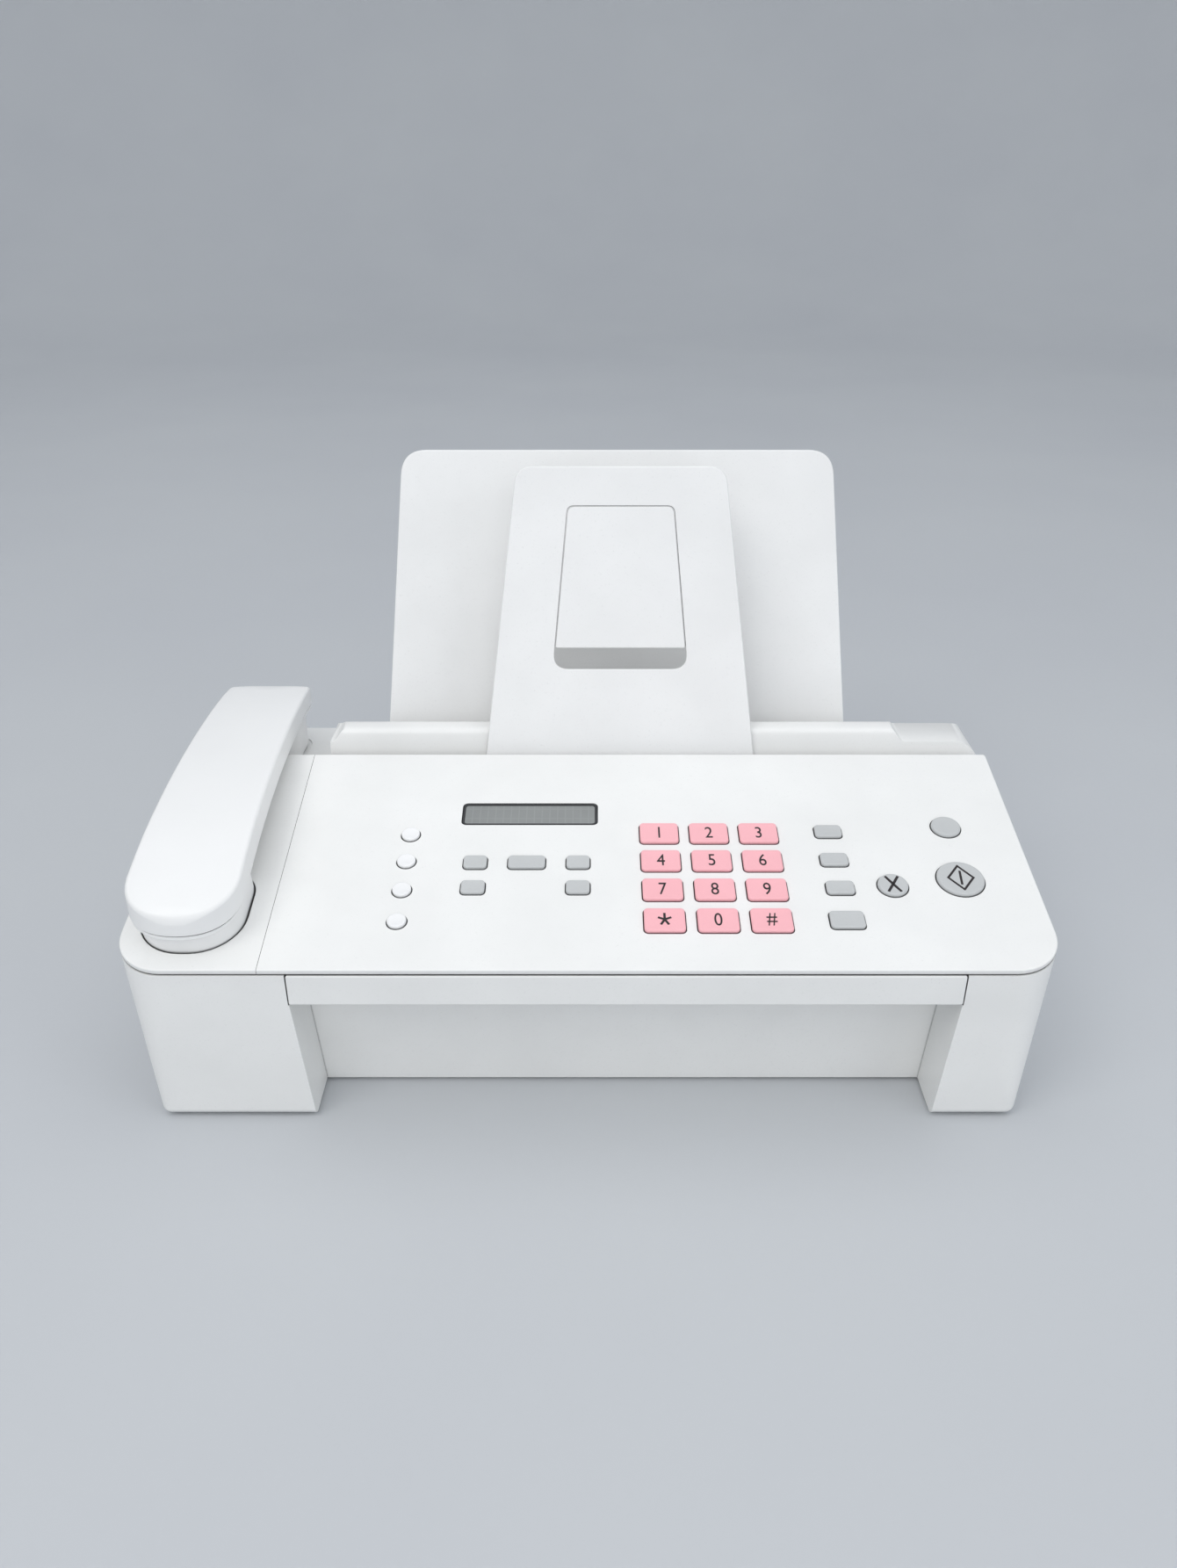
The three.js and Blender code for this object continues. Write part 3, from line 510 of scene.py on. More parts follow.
def solder_mask(name):
    """Circuit board: copper tracks under green mask."""
    n = Nodes(name)
    black, white = (0, 0, 0, 1), (1, 1, 1, 1)
    values = {"Scale": 120.0, "Mortar Size": 0.035, "Mortar Smooth": 0.1}
    values.update({"Color1": black, "Color2": black, "Mortar": white})
    tracks = n.add("ShaderNodeTexBrick", values, offset=0.5)
    wander = n.add("ShaderNodeVectorMath", operation="MULTIPLY_ADD")
    wobble = n.add("ShaderNodeTexVoronoi", {"Scale": 55.0}, feature="F1")
    n.link(n.place, wobble.inputs["Vector"])
    n.link(wobble.outputs["Color"], wander.inputs[0])
    wander.inputs[1].default_value = (0.02, 0.02, 0.0)
    n.link(n.place, wander.inputs[2])
    n.link(wander.outputs["Vector"], tracks.inputs["Vector"])
    line = n.spread(tracks.outputs["Color"], 0.0, 1.0, 0.2, 0.8)
    body = n.blend(line, shade(0x14603A), shade(0x2C8A54))
    weave = n.noise(900.0, 2.0)
    normal = n.bump(line, 0.00004, 0.8, n.bump(weave, 0.00001, 0.5))
    return n.finish(body, n.spread(weave, 0.28, 0.42), normal, Coat_Weight=0.3)


CELL = 3.4  # width of one character cell of the display


def display_glass(name):
    """The display's clear lens over grey liquid crystal."""
    n = Nodes(name)
    cloud = n.spread(n.noise(45.0, 3.0), 0.0, 1.0)
    body = n.blend(cloud, shade(0x858887), shade(0x8D908F))
    values = {"Scale": 1.0, "Brick Width": CELL * MM, "Row Height": 1.8 * CELL * MM}
    values.update({"Mortar Size": 0.09 * CELL * MM, "Mortar Smooth": 0.3})
    cells = n.add("ShaderNodeTexBrick", values, offset=0.0)
    n.link(n.place, cells.inputs["Vector"])
    line = n.spread(cells.outputs["Fac"], 0.0, 0.35, 0.0, 1.0)
    body = n.blend(line, body, shade(0x9A9D9C))
    smears = n.spread(n.noise(90.0, 4.0), 0.3, 0.42)
    return n.finish(body, smears, n.bump(cloud, 0.00001, 0.3), Coat_Weight=0.2, Coat_Roughness=0.25)


def cone_paper(name):
    """Pressed paper of a loudspeaker cone."""
    n = Nodes(name)
    fibres = n.noise(1100.0, 5.0, (1, 1, 0.3), rough=0.7)
    body = n.blend(n.spread(fibres, 0.0, 1.0), shade(0x2A2A2B), shade(0x4A4846))
    return n.finish(body, n.spread(fibres, 0.75, 0.95), n.bump(fibres, 0.00008, 0.8))


LOOKS = {
    "casing_white": moulded("casing_white", 0xF3F3F1, 0.42),
    "handset_white": moulded("handset_white", 0xF5F5F4, 0.34, 2600.0, 0.00001, 0.008),
    "support_white": moulded("support_white", 0xF4F4F3, 0.46, 2200.0, 0.00004),
    "display_window": display_glass("display_window"),
    "foot_rubber": rubber("foot_rubber", 0x2A2A2B, 0.85),
    "silicone_mat": rubber("silicone_mat", 0x6E7072, 0.7),
    "roller_rubber": rubber("roller_rubber", 0x29292A, 0.75, ground=True),
    "shaft_steel": metal("shaft_steel", 0xC3C5C8, 0.24, (0.02, 1, 1)),
    "motor_steel": metal("motor_steel", 0xB4B7BA, 0.34, (1, 0.04, 0.04)),
    "gear_nylon": moulded("gear_nylon", 0xE9E4D4, 0.45, 900.0, 0.00001, Subsurface_Weight=0.05),
    "black_plastic": moulded("black_plastic", 0x26272A, 0.5, 2000.0, 0.00004, 0.08, 0.5),
    "circuit_board": solder_mask("circuit_board"),
    "key_pink": moulded("key_pink", 0xFFBBC2, 0.4, 3000.0, 0.00002, 0.02, 0.05),
    "key_grey": moulded("key_grey", 0xC6C8C8, 0.42, 3000.0, 0.00002, 0.03, 0.08),
    "key_white": moulded("key_white", 0xF6F6F6, 0.3, 3000.0, 0.00001, Coat_Weight=0.1),
    "legend_ink": moulded("legend_ink", 0x221A1C, 0.55, 4000.0, 0.00001, 0.1, 0.0),
    "cone_paper": cone_paper("cone_paper"),
    "solder": metal("solder", 0xD2D4D6, 0.3, (1, 1, 1)),
    "brass": metal("brass", 0xD9B25A, 0.28, (0.2, 1, 1)),
    "glass": moulded("glass", 0x1C2423, 0.08, 3000.0, 0.000002, 0.05, 0.0, Coat_Weight=0.6),
}
SHARP = math.radians(38)  # edges sharper than this stay sharp in shading


def add(name, obj, slot, body, nodes=(), matrix=MACHINE, look=None, bevel=0.0):
    """Finishes an object as a named piece: placed, smoothed, painted, and riding on its body."""
    obj.name = name
    obj.data.name = name
    placed(obj, matrix)
    mesh = obj.data
    mesh.polygons.foreach_set("use_smooth", [True] * len(mesh.polygons))
    mesh.set_sharp_from_angle(angle=SHARP)
    mesh.materials.clear()
    mesh.materials.append(LOOKS[look or slot])
    if bevel:
        modified(obj, "soften", "BEVEL", width=bevel * MM, segments=2, limit_method="ANGLE",
                 angle_limit=SHARP, miter_outer="MITER_ARC", harden_normals=True)
    modified(obj, "weigh", "WEIGHTED_NORMAL", keep_sharp=True, weight=80)
    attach(obj, body)
    if nodes:
        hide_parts(*([nodes] if isinstance(nodes, str) else nodes))
    return obj


# ---------- lower casing ----------
def casing_section(inset, z):
    """Plan of the casing at a height: it widens from the table up to the deck."""
    share = min(1.0, (z - FOOT_LIFT) / (DECK_FRONT_Z - FOOT_LIFT))
    half = HALF_BASE + (HALF_WIDTH - HALF_BASE) * share - inset
    front = 1.5 * (1 - share) + inset
    rear = BODY_DEPTH - 3 * (1 - share) - inset
    radii = [max(0.5, 4 + (r - 4) * share - inset) for r in (FRONT_CORNER, REAR_CORNER)]
    return rounded(-half, half, front, rear, [radii[0]] * 2 + [radii[1]] * 2, 10)


def casing_skin(inset, floor, base_round):
    heights = [(edge, floor + rise) for edge, rise in quarter(base_round, 4)]
    heights += [(0, z) for z in (20, 40, 60, DECK_FRONT_Z, RIDGE_Z + 9)]
    return skin([[(x, y, z) for x, y in casing_section(inset + e, z)] for e, z in heights])


def recess_block(grow):
    """The room between the front legs; its sides draw in towards the table."""
    left, right = RECESS["left"] - grow, RECESS["right"] + grow
    top, draw = RECESS["top"] + grow, RECESS["draw_in"]
    outline = [(left + draw, -10), (right - draw, -10), (right, top), (left, top)]
    return prism(outline, -10, RECESS["depth"] + grow, "xz")


SHAFTS = {
    "exit": (38, 47, 3),
    "carriage": (92, 46, 3),
    "document": (121, 79, 3),
    "paper": (160, 56, 3.5),
}
GEAR_MODULE = 1.5
GEAR_TEETH = 30
PINION_TEETH = 12
GEAR_REACH = GEAR_MODULE * (GEAR_TEETH + PINION_TEETH) / 2 + 0.3
MOTOR_Y = SHAFTS["paper"][0] - GEAR_REACH * 0.8
MOTOR_Z = SHAFTS["paper"][1] - GEAR_REACH * 0.6
UPRIGHT_OUTLINE = [(32, 2), (172, 2), (172, 82), (133, 82), (130, 88), (112, 88), (108, 74), (32, 58)]
JACK = {"x0": -166, "x1": -130, "z0": 20, "z1": 38}
INLET = {"x0": 128, "x1": 152, "z0": 20, "z1": 38}
FEET = {
    "foot_front_left": (-146, 14),
    "foot_front_right": (160, 14),
    "foot_rear_left": (-160, 176),
    "foot_rear_right": (160, 176),
}
BOARD_POSTS = [(-96, 46), (84, 46), (-96, 134), (84, 134)]
BOARD_POSTS += [(-164, 98), (-130, 98), (-164, 168), (-130, 168)]
SCREWS = [(-60, 34), (60, 34), (-140, 60), (150, 60), (-140, 150), (146, 168), (0, 176)]


def slot_row(count, first, pitch, width, low, high, radius):
    """Outlines of a row of round-ended slots."""
    starts = [first + i * pitch for i in range(count)]
    return [rounded(start, start + width, low, high, radius) for start in starts]


VENTS = slot_row(count=7, first=-40, pitch=14, width=6, low=30, high=52, radius=2.4)
GRILLE = slot_row(count=5, first=30, pitch=6, width=3, low=16, high=40, radius=1.3)
FLOOR_SLOTS = slot_row(count=9, first=-60, pitch=15, width=4, low=70, high=120, radius=1.8)
MOTOR_HOLE = 6.4
FOOT_HOLE = 2.8
SCREW_WELL = 3.6
POST = 3  # radius of the posts under the boards
REAR_WALL = (180, 200)  # Y span that cuts through the rear wall
SIDE_WALL = (-190, -160)  # X span that cuts through the left wall
FLOOR = (-1, 6)  # Z span that cuts through the floor


def lower_casing():
    edge_low = deck_height(-10) - DECK_THICK - GAP
    edge_high = deck_height(DECK_DEPTH) - DECK_THICK - GAP
    step = DECK_DEPTH + 0.9
    side = [(-10, -1), (BODY_DEPTH + 10, -1), (BODY_DEPTH + 10, REAR_SEAT_Z)]
    side += [(step, REAR_SEAT_Z), (step, edge_high), (-10, edge_low)]
    shell = cut(casing_skin(0, FOOT_LIFT, 3.2), casing_skin(WALL, FOOT_LIFT + WALL, 1.5))
    liner = common(casing_skin(0, FOOT_LIFT, 3.2), recess_block(WALL))
    uprights = [prism(UPRIGHT_OUTLINE, x, x + UPRIGHT, "yz") for x in (CHASSIS_LEFT, CHASSIS_RIGHT)]
    posts = [post(POST, x, y, FOOT_LIFT + 1, BOARD_Z - GAP) for x, y in BOARD_POSTS]
    body = join(shell, liner, *uprights, *posts)
    body = common(body, prism(side, -HALF_WIDTH - 5, HALF_WIDTH + 5, "yz"))
    tools = [recess_block(0)]
    tools.append(block(RECESS["left"] - GAP, RECESS["right"] + GAP, -5, WALL + GAP, RECESS["top"], 90))
    tools.append(prism(framed(EXIT_SLOT, 0, 2.5), 20, 30, "xz"))
    tools += [prism(framed(socket, GAP, 0.8), *REAR_WALL, "xz") for socket in (JACK, INLET)]
    for y, z, radius in SHAFTS.values():
        tools.append(rod(radius + GAP, CHASSIS_LEFT - 1, CHASSIS_RIGHT + UPRIGHT + 1, y, z))
    tools.append(rod(MOTOR_HOLE, CHASSIS_RIGHT - 1, CHASSIS_RIGHT + UPRIGHT + 1, MOTOR_Y, MOTOR_Z))
    tools += [prism(loop, *REAR_WALL, "xz") for loop in VENTS]
    tools += [prism(loop, *SIDE_WALL, "yz") for loop in GRILLE]
    tools += [post(FOOT_HOLE, x, y, *FLOOR) for x, y in FEET.values()]
    tools += [post(SCREW_WELL, x, y, -1, FOOT_LIFT + 1.6) for x, y in SCREWS]
    tools += [prism(loop, *FLOOR) for loop in FLOOR_SLOTS]
    return cut(body, *tools)


add("casing_shell", lower_casing(), "casing_white", "casing", "lower_casing", bevel=0.5)


def foot_pad(x, y):
    loop = circle(x, y, 7, 40)
    edge = [(-0.6, 0), (-0.15, 0.15), (0, 0.5), (0, FOOT_LIFT - 0.5), (-0.2, FOOT_LIFT - 0.3)]
    return stack(loop, [(-5.4, 0.35), (-2.2, 0.35), (-1.9, 0)] + edge + [(-4.6, 1.0), (-4.6, 4.6)])


for node, (x, y) in FEET.items():
    add(node + "_pad", foot_pad(x, y), "foot_rubber", "casing", node)


def front_fascia():
    left, right, top = RECESS["left"], RECESS["right"], RECESS["top"]
    high = DECK_FRONT_Z - DECK_THICK - GAP
    face = placed(plate(rounded(left, right, top + GAP, high, 0.9), [], -WALL, 0, 0.5), UPRIGHT_TURN)
    return join(face, block(left + 6, right - 6, WALL - 0.5, 9, top + 5, top + 7))


add("fascia_strip", front_fascia(), "casing_white", "casing", "front_fascia")


# ---------- keys, from the frame's own boxes ----------
def key_place(node):
    """(x, s, width, length) of a key on the deck, from its box in the frame."""
    low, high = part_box(node)
    middle = DECK.inverted() @ ((low + high) / 2)
    tall = (KEY_PROUD + KEY_DEPTH) * math.sin(DECK_SLOPE)
    length = ((high.y - low.y) / MM - tall) / math.cos(DECK_SLOPE)
    return middle.x, middle.y, (high.x - low.x) / MM, length


KEY_NODES = [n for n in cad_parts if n.startswith(("key_", "menu_", "function_")) and n != "key_mat"]
ROUND_NODES = [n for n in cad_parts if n.startswith("one_touch") or n.endswith("_button")]


KEY_CORNER = 1.7
BIG_BUTTONS = ("start_button", "copy_button", "stop_button")


def key_outline(node, grow=0.0):
    x, s, width, length = key_place(node)
    if node in ROUND_NODES:
        return circle(x, s, width / 2 + grow, 48)
    w, l = width / 2 + grow, length / 2 + grow
    return rounded(x - w, x + w, s - l, s + l, KEY_CORNER + grow, 6)


def key_cap(node):
    """A key with a rounded shoulder and a shallow dish."""
    loop = key_outline(node)
    soft, dish = (0.9, 0.12) if node in BIG_BUTTONS else (0.6, 0.22)
    profile = [(-0.2, -KEY_DEPTH), (0, -KEY_DEPTH + 0.2)]
    rises = [(-inset, KEY_PROUD - rise) for inset, rise in reversed(quarter(soft, 4))]
    rings = [[(x, y, z) for x, y in grown(loop, g)] for g, z in profile + rises]
    top = grown(loop, -soft)
    for share in (0.93, 0.8, 0.6, 0.35, 0.1):
        depth = dish * (1 - share**2)
        rings.append([(x, y, KEY_PROUD - depth) for x, y in scaled(top, share)])
    return skin(rings)


def key_slot(node):
    if node.startswith("key_"):
        return "key_pink"
    return "key_white" if node.startswith("one_touch") else "key_grey"


for node in KEY_NODES + ROUND_NODES:
    add(node + "_cap", key_cap(node), key_slot(node), node, node, DECK)


LEGENDS = {"star": "*", "hash": "#"}
LEGEND_TALL = 6.8
INK = 0.14  # thickness of a printed mark
INK_TOP = KEY_PROUD - 0.07  # middle of the ink on the nearly flat big buttons
NARROW = 0.74


def glyph(text, x, s, length, top):
    """A printed character on a key, narrow and of the given height, its middle at (x, s)."""
    letters = bpy.data.curves.new("glyph", "FONT")
    letters.body = text
    letters.size = 10
    letters.extrude = INK / 2
    source = linked("glyph", letters)
    bpy.context.view_layer.update()
    mesh = bpy.data.meshes.new_from_object(source.evaluated_get(bpy.context.evaluated_depsgraph_get()))
    bpy.data.objects.remove(source)
    obj = linked("glyph", mesh)
    low = [min(v.co[k] for v in mesh.vertices) for k in range(2)]
    high = [max(v.co[k] for v in mesh.vertices) for k in range(2)]
    share = length / (high[1] - low[1])
    middle = Matrix.Translation((-(low[0] + high[0]) / 2, -(low[1] + high[1]) / 2, 0))
    size = Matrix.Diagonal((share * NARROW, share, 1, 1))
    return mended(placed(obj, Matrix.Translation((x, s, top)) @ size @ middle), 0.02)


def stroke(points, width, x, s, top, closed=False):
    """A flat line of a symbol, drawn about (x, s)."""
    bars = []
    count = len(points) if closed else len(points) - 1
    for i in range(count):
        a, b = Vector(points[i]), Vector(points[(i + 1) % len(points)])
        along = (b - a).normalized() * width / 2
        across = Vector((-along.y, along.x))
        corners = [a - along - across, b + along - across, b + along + across, a - along + across]
        bars.append(prism([(x + p.x, s + p.y) for p in corners], top - INK / 2, top + INK / 2))
    return join(bars[0], *bars[1:]) if len(bars) > 1 else bars[0]


def asterisk(x, s, reach, top):
    """Five bold arms round a middle."""
    arms = []
    for i in range(5):
        turn = math.radians(90 + 72 * i)
        end = (0.78 * reach * math.cos(turn), reach * math.sin(turn))
        arms.append(stroke([(0, 0), end], 0.95, x, s, top))
    return join(arms[0], *arms[1:])


def printed(name, mark, node):
    """Adds an inked mark to a key."""
    add(name, mark, "black_plastic", node, matrix=DECK, look="legend_ink")


KEY_INK = KEY_PROUD - 0.2 + 0.03  # middle of the ink, in the floor of the dish
for node in KEY_NODES:
    if node.startswith("key_"):
        x, s, width, length = key_place(node)
        text = LEGENDS.get(node[4:], node[4:])
        if text == "*":
            mark = asterisk(x, s, 3.0, KEY_INK)
        else:
            mark = glyph(text, x, s, LEGEND_TALL, KEY_INK)
        printed(node + "_legend", mark, node)

x, s, _, _ = key_place("stop_button")
ARM = (2.4, 4.0)
CROSS_LINE = 1.1
for name, turn in (("rise", 1), ("fall", -1)):
    bar = stroke([(-ARM[0], -turn * ARM[1]), (ARM[0], turn * ARM[1])], CROSS_LINE, x, s, INK_TOP)
    printed("stop_cross_" + name, bar, "stop_button")
x, s, _, _ = key_place("start_button")
DIAMOND = [(-5.2, 0), (0, -6.9), (5.2, 0), (0, 6.9)]
DIAMOND_LINE = 0.9
ring = stroke(DIAMOND, DIAMOND_LINE, x, s, INK_TOP, closed=True)
printed("start_diamond", ring, "start_button")
slash = stroke([(-0.3, -3.6), (0.3, 3.6)], DIAMOND_LINE, x, s, INK_TOP)
printed("start_slash", slash, "start_button")


# ---------- control panel ----------
WINDOW = {"x0": -55.2, "x1": 3.8, "s0": 83.9, "s1": 97.7}


def window_outline(grow, radius=2.0):
    return framed(WINDOW, grow, radius)


HAIRLINE = 0.09
DECK_SOFT = 0.6


def control_panel():
    outer = rounded(SEAM_X - 4, HALF_WIDTH, 0, DECK_LENGTH, [1.5, FRONT_CORNER, 1.5, 1.2], 12)
    holes = [key_outline(node, KEY_GAP) for node in KEY_NODES + ROUND_NODES]
    holes.append(window_outline(KEY_GAP, 2.3))
    whole = plate(outer, holes, -DECK_THICK, 0, DECK_SOFT, 0.2)
    top = cut(whole, block(SEAM_X - 9, SEAM_X + HAIRLINE, -5, DECK_LENGTH + 5, -9, 5))
    x0, x1, s1 = SEAM_X + 3, HALF_WIDTH - 3.6, DECK_LENGTH - 5
    rim = rounded(x0, x1, 4, s1, [1, FRONT_CORNER - 4, 2, 1])
    inner = rounded(x0 + 2, x1 - 2, 6, s1 - 2, [1, FRONT_CORNER - 6, 2, 1])
    return join(top, cut(prism(rim, -8, -DECK_THICK + 0.5), prism(inner, -9, 0)))


add("panel_shell", control_panel(), "casing_white", "panel", "control_panel", DECK, bevel=0.12)

bezel = plate(window_outline(0), [window_outline(-0.9, 1.4)], -1.9, -0.2, 0.2)
add("display_bezel", bezel, "black_plastic", "panel", (), DECK)
lens = plate(window_outline(-0.95, 1.3), [], -1.8, -0.5, 0.12)
add("display_lens", lens, "display_window", "panel", "lcd_window", DECK)


def key_mat():
    """A silicone mat with a dome under each key."""
    sheet = plate(rounded(-84, 168, 16, 92, 3), [], -7.4, -6.6, 0.2)
    domes = []
    for node in KEY_NODES + ROUND_NODES:
        x, s, width, length = key_place(node)
        r = min(width, length) * 0.34
        domes.append(stack(circle(x, s, r, 20), [(0, -6.9), (-0.4, -6.4), (-0.9, -6.25)]))
    return join(sheet, *domes)


add("dome_mat", key_mat(), "silicone_mat", "panel", "key_mat", DECK)
LAMINATE_LOW = -10.4
PANEL_POSTS = [(x, s) for x in (-88, 168) for s in (16, 102)]
holes = [circle(x, s, 1.6, 16) for x, s in PANEL_POSTS]
board = plate(rounded(-92, 172, 12, 106, 2), holes, LAMINATE_LOW, -8.8, 0.1)
add("panel_laminate", board, "circuit_board", "panel", "panel_board", DECK)


# ---------- handset ----------
CUP = {"x0": -178.2, "x1": -137.2, "s0": 9.5, "s1": 53}
WELL_FLOOR = -8
EAR = {"x0": -175.5, "x1": -140.5, "y0": 147, "y1": 181}
CROWN = spline([(5, 95), (9, 99.4), (24, 104.4), (50, 111.4), (85, 116.8), (120, 119.4),
                (155, 119.6), (178, 117.6), (184, 113.4)])
UNDERSIDE = spline([(184, 107.4), (155, 110.4), (120, 110.2), (85, 107.2), (50, 101), (24, 93.6), (5, 88)])


def handset_plan(inset, front, rear):
    """Plan outline from the front tip round the right side and back up the left."""
    near, far = 22.5 - inset, 20 - inset
    tip = (HANDSET_X, front)
    nose = bezier(tip, (HANDSET_X + 13, front), (HANDSET_X + near - 0.5, front + 6),
                  (HANDSET_X + near, front + 19), 10)
    side = [(HANDSET_X + near + (far - near) * t / 14, front + 19 + (rear - 27 - front) * t / 14)
            for t in range(1, 14)]
    heel = arc(HANDSET_X + far - 8, rear - 8, 8, 0, 90, 6)
    return [tip] + mirrored(nose + side + heel, HANDSET_X)


def handset_back():
    """The back shell: a crowned top that turns over a soft shoulder into upright sides."""
    plan = handset_plan(0, 5, 184)
    rings = []
    for inset, lift in [(0.5, 0.0), (0.15, 0.1), (0.0, 0.4)]:
        rings.append([(x, y, height_on(UNDERSIDE, y) + lift) for x, y in grown(plan, -inset)])
    shoulder, crowned = 1.5, 0.8
    for inset, drop in reversed(quarter(shoulder, 5)):
        rings.append([(x, y, height_on(CROWN, y) - crowned - drop) for x, y in grown(plan, -inset)])
    inner = grown(plan, -shoulder)
    spine = (25, 170)
    for share in (0.92, 0.8, 0.62, 0.4, 0.18, 0.04):
        ring = []
        for x, y in inner:
            middle = min(max(y, spine[0]), spine[1])
            drawn = middle + (y - middle) * share
            across = HANDSET_X + (x - HANDSET_X) * share
            ring.append((across, drawn, height_on(CROWN, drawn) - crowned * share**2))
        rings.append(ring)
    return rings


def ribbon_skin(rings):
    """A skin whose first and last rings are closed across from side to side."""
    count = len(rings[0])
    faces = bands(len(rings), count)
    for base, up in ((0, False), ((len(rings) - 1) * count, True)):
        for i in range(count // 2):
            a, b = base + i, base + i + 1
            c, d = base + count - 1 - i, base + (count - i) % count
            corners = [a, b, c, d] if i else [a, b, c]
            if len(set(corners)) < 3:
                continue
            faces.append(tuple(corners if up else corners[::-1]))
    return thing([p for ring in rings for p in ring], faces)


add("handset_back", ribbon_skin(handset_back()), "handset_white", "handset", "handset_back_shell")


def seated(outline, frame_matrix, low, curve, clear, soft):
    """A cup whose wall rises from a floor at low to just under a curve of (y, z) points."""
    to_machine = MACHINE.inverted() @ frame_matrix
    rings = []
    for inset, rise in quarter(soft, 4):
        rings.append([to_machine @ Vector((x, s, low + rise)) for x, s in grown(outline, -inset)])
    up = (to_machine.to_3x3() @ Vector((0, 0, 1))).normalized()
    top = []
    for point in rings[-1]:
        reach = 0.0
        for _ in range(12):
            spot = point + up * reach
            reach += height_on(curve, spot.y) - clear - spot.z
        top.append(point + up * reach)
    rings.append(top)
    return skin(rings)


def handset_front():
    """Mouth cup, ear cup and the strip that joins them under the grip."""
    mouth_loop = framed(CUP, 0, [18, 18, 11, 11], 10)
    mouth = seated(mouth_loop, DECK, WELL_FLOOR + GAP, UNDERSIDE, GAP, 1.6)
    ear = seated(framed(EAR, 0, 10, 10), MACHINE, SHELF_TOP + GAP, UNDERSIDE, GAP, 1.6)
    plan = handset_plan(0.4, 5.4, 183.6)
    strip = []
    for inset, drop in [(1.1, 2.8), (0.4, 2.5), (0.0, 1.9), (0.0, 0.9), (0.15, 0.6), (0.5, 0.5)]:
        strip.append([(x, y, height_on(UNDERSIDE, y) - drop) for x, y in grown(plan, -inset)])
    body = join(ribbon_skin(strip), mouth, ear)
    holes = []
    middle = ((CUP["x0"] + CUP["x1"]) / 2, (CUP["s0"] + CUP["s1"]) / 2 - 2)
    for x, s in [middle] + circle(*middle, 4.2, 6):
        holes.append(placed(post(0.9, x, s, WELL_FLOOR - 1, WELL_FLOOR + 2.2, 12), MACHINE.inverted() @ DECK))
    middle = ((EAR["x0"] + EAR["x1"]) / 2, (EAR["y0"] + EAR["y1"]) / 2)
    for x, y in [middle] + circle(*middle, 4, 6) + circle(*middle, 8, 12):
        holes.append(post(0.9, x, y, SHELF_TOP - 1, SHELF_TOP + 2.6, 12))
    return cut(body, *holes)


add("handset_front", handset_front(), "handset_white", "handset", "handset_front_shell")


# ---------- cradle on the left of the deck ----------
def cradle():
    outer = rounded(-HALF_WIDTH, SEAM_X + 4, 0, DECK_LENGTH, [FRONT_CORNER, 1.5, 1.2, 1.2], 12)
    well_loop = framed(CUP, 0, [19, 19, 12, 12], 10)
    whole = plate(outer, [], -DECK_THICK, 0, DECK_SOFT)
    top = cut(whole, block(SEAM_X - HAIRLINE, SEAM_X + 9, -5, DECK_LENGTH + 5, -9, 5))
    tray = stack(well_loop, [(2.2, WELL_FLOOR - 1.6), (2.8, WELL_FLOOR - 1), (2.8, -1)])
    turn = [math.pi / 2 * i / 4 for i in range(5)]
    lip = [(0.7 + 0.6 * (1 - math.cos(a)), -0.6 + 0.6 * math.sin(a)) for a in turn]
    base = [(-0.6, WELL_FLOOR), (0.3, WELL_FLOOR + 0.5), (0.7, WELL_FLOOR + 1.5)]
    well = stack(well_loop, base + lip + [(1.4, 5)])
    to_machine = MACHINE.inverted() @ DECK
    body = placed(cut(join(top, tray), well), to_machine)
    step = DECK_DEPTH + 0.3
    low = REAR_SEAT_Z + GAP
    radii = [0.8, 0.8, 1.2, REAR_CORNER]
    outline = rounded(-HALF_WIDTH, REAR_COVER_LEFT - GAP, step - 3, BODY_DEPTH, radii, 10)
    shelf = plate(outline, [], low, SHELF_TOP, 0.5)
    riser = block(-HALF_WIDTH, SEAM_X - HAIRLINE, step - 3, step + 0.35, low, deck_height(DECK_DEPTH) - 0.6)
    rim_top = deck_height(DECK_DEPTH) - DECK_THICK + 0.2
    side_wall = block(-HALF_WIDTH - 1, -HALF_WIDTH + WALL + GAP, step - 4, step + 1, 80, rim_top)
    body = join(body, cut(join(shelf, riser), side_wall))
    hook_hole = prism(rounded(-161.5, -154.5, 158.5, 169.5, 1.2), 80, 90)
    rest = prism(framed(EAR, 1.5, 11.5, 10), SHELF_TOP - 0.5, SHELF_TOP + 5)
    return mended(cut(body, hook_hole, rest), 0.02)


add("cradle_shell", cradle(), "casing_white", "casing", "cradle_cover", bevel=0.15)

pin = plate(rounded(-161, -155, 159, 169, 1), [], 76, SHELF_TOP - 0.1, 0.5)
hook = join(pin, block(-163, -153, 156, 172, 72, 77))
add("hook_plunger", hook, "gear_nylon", "hook_switch", "hook_switch", bevel=0.25)


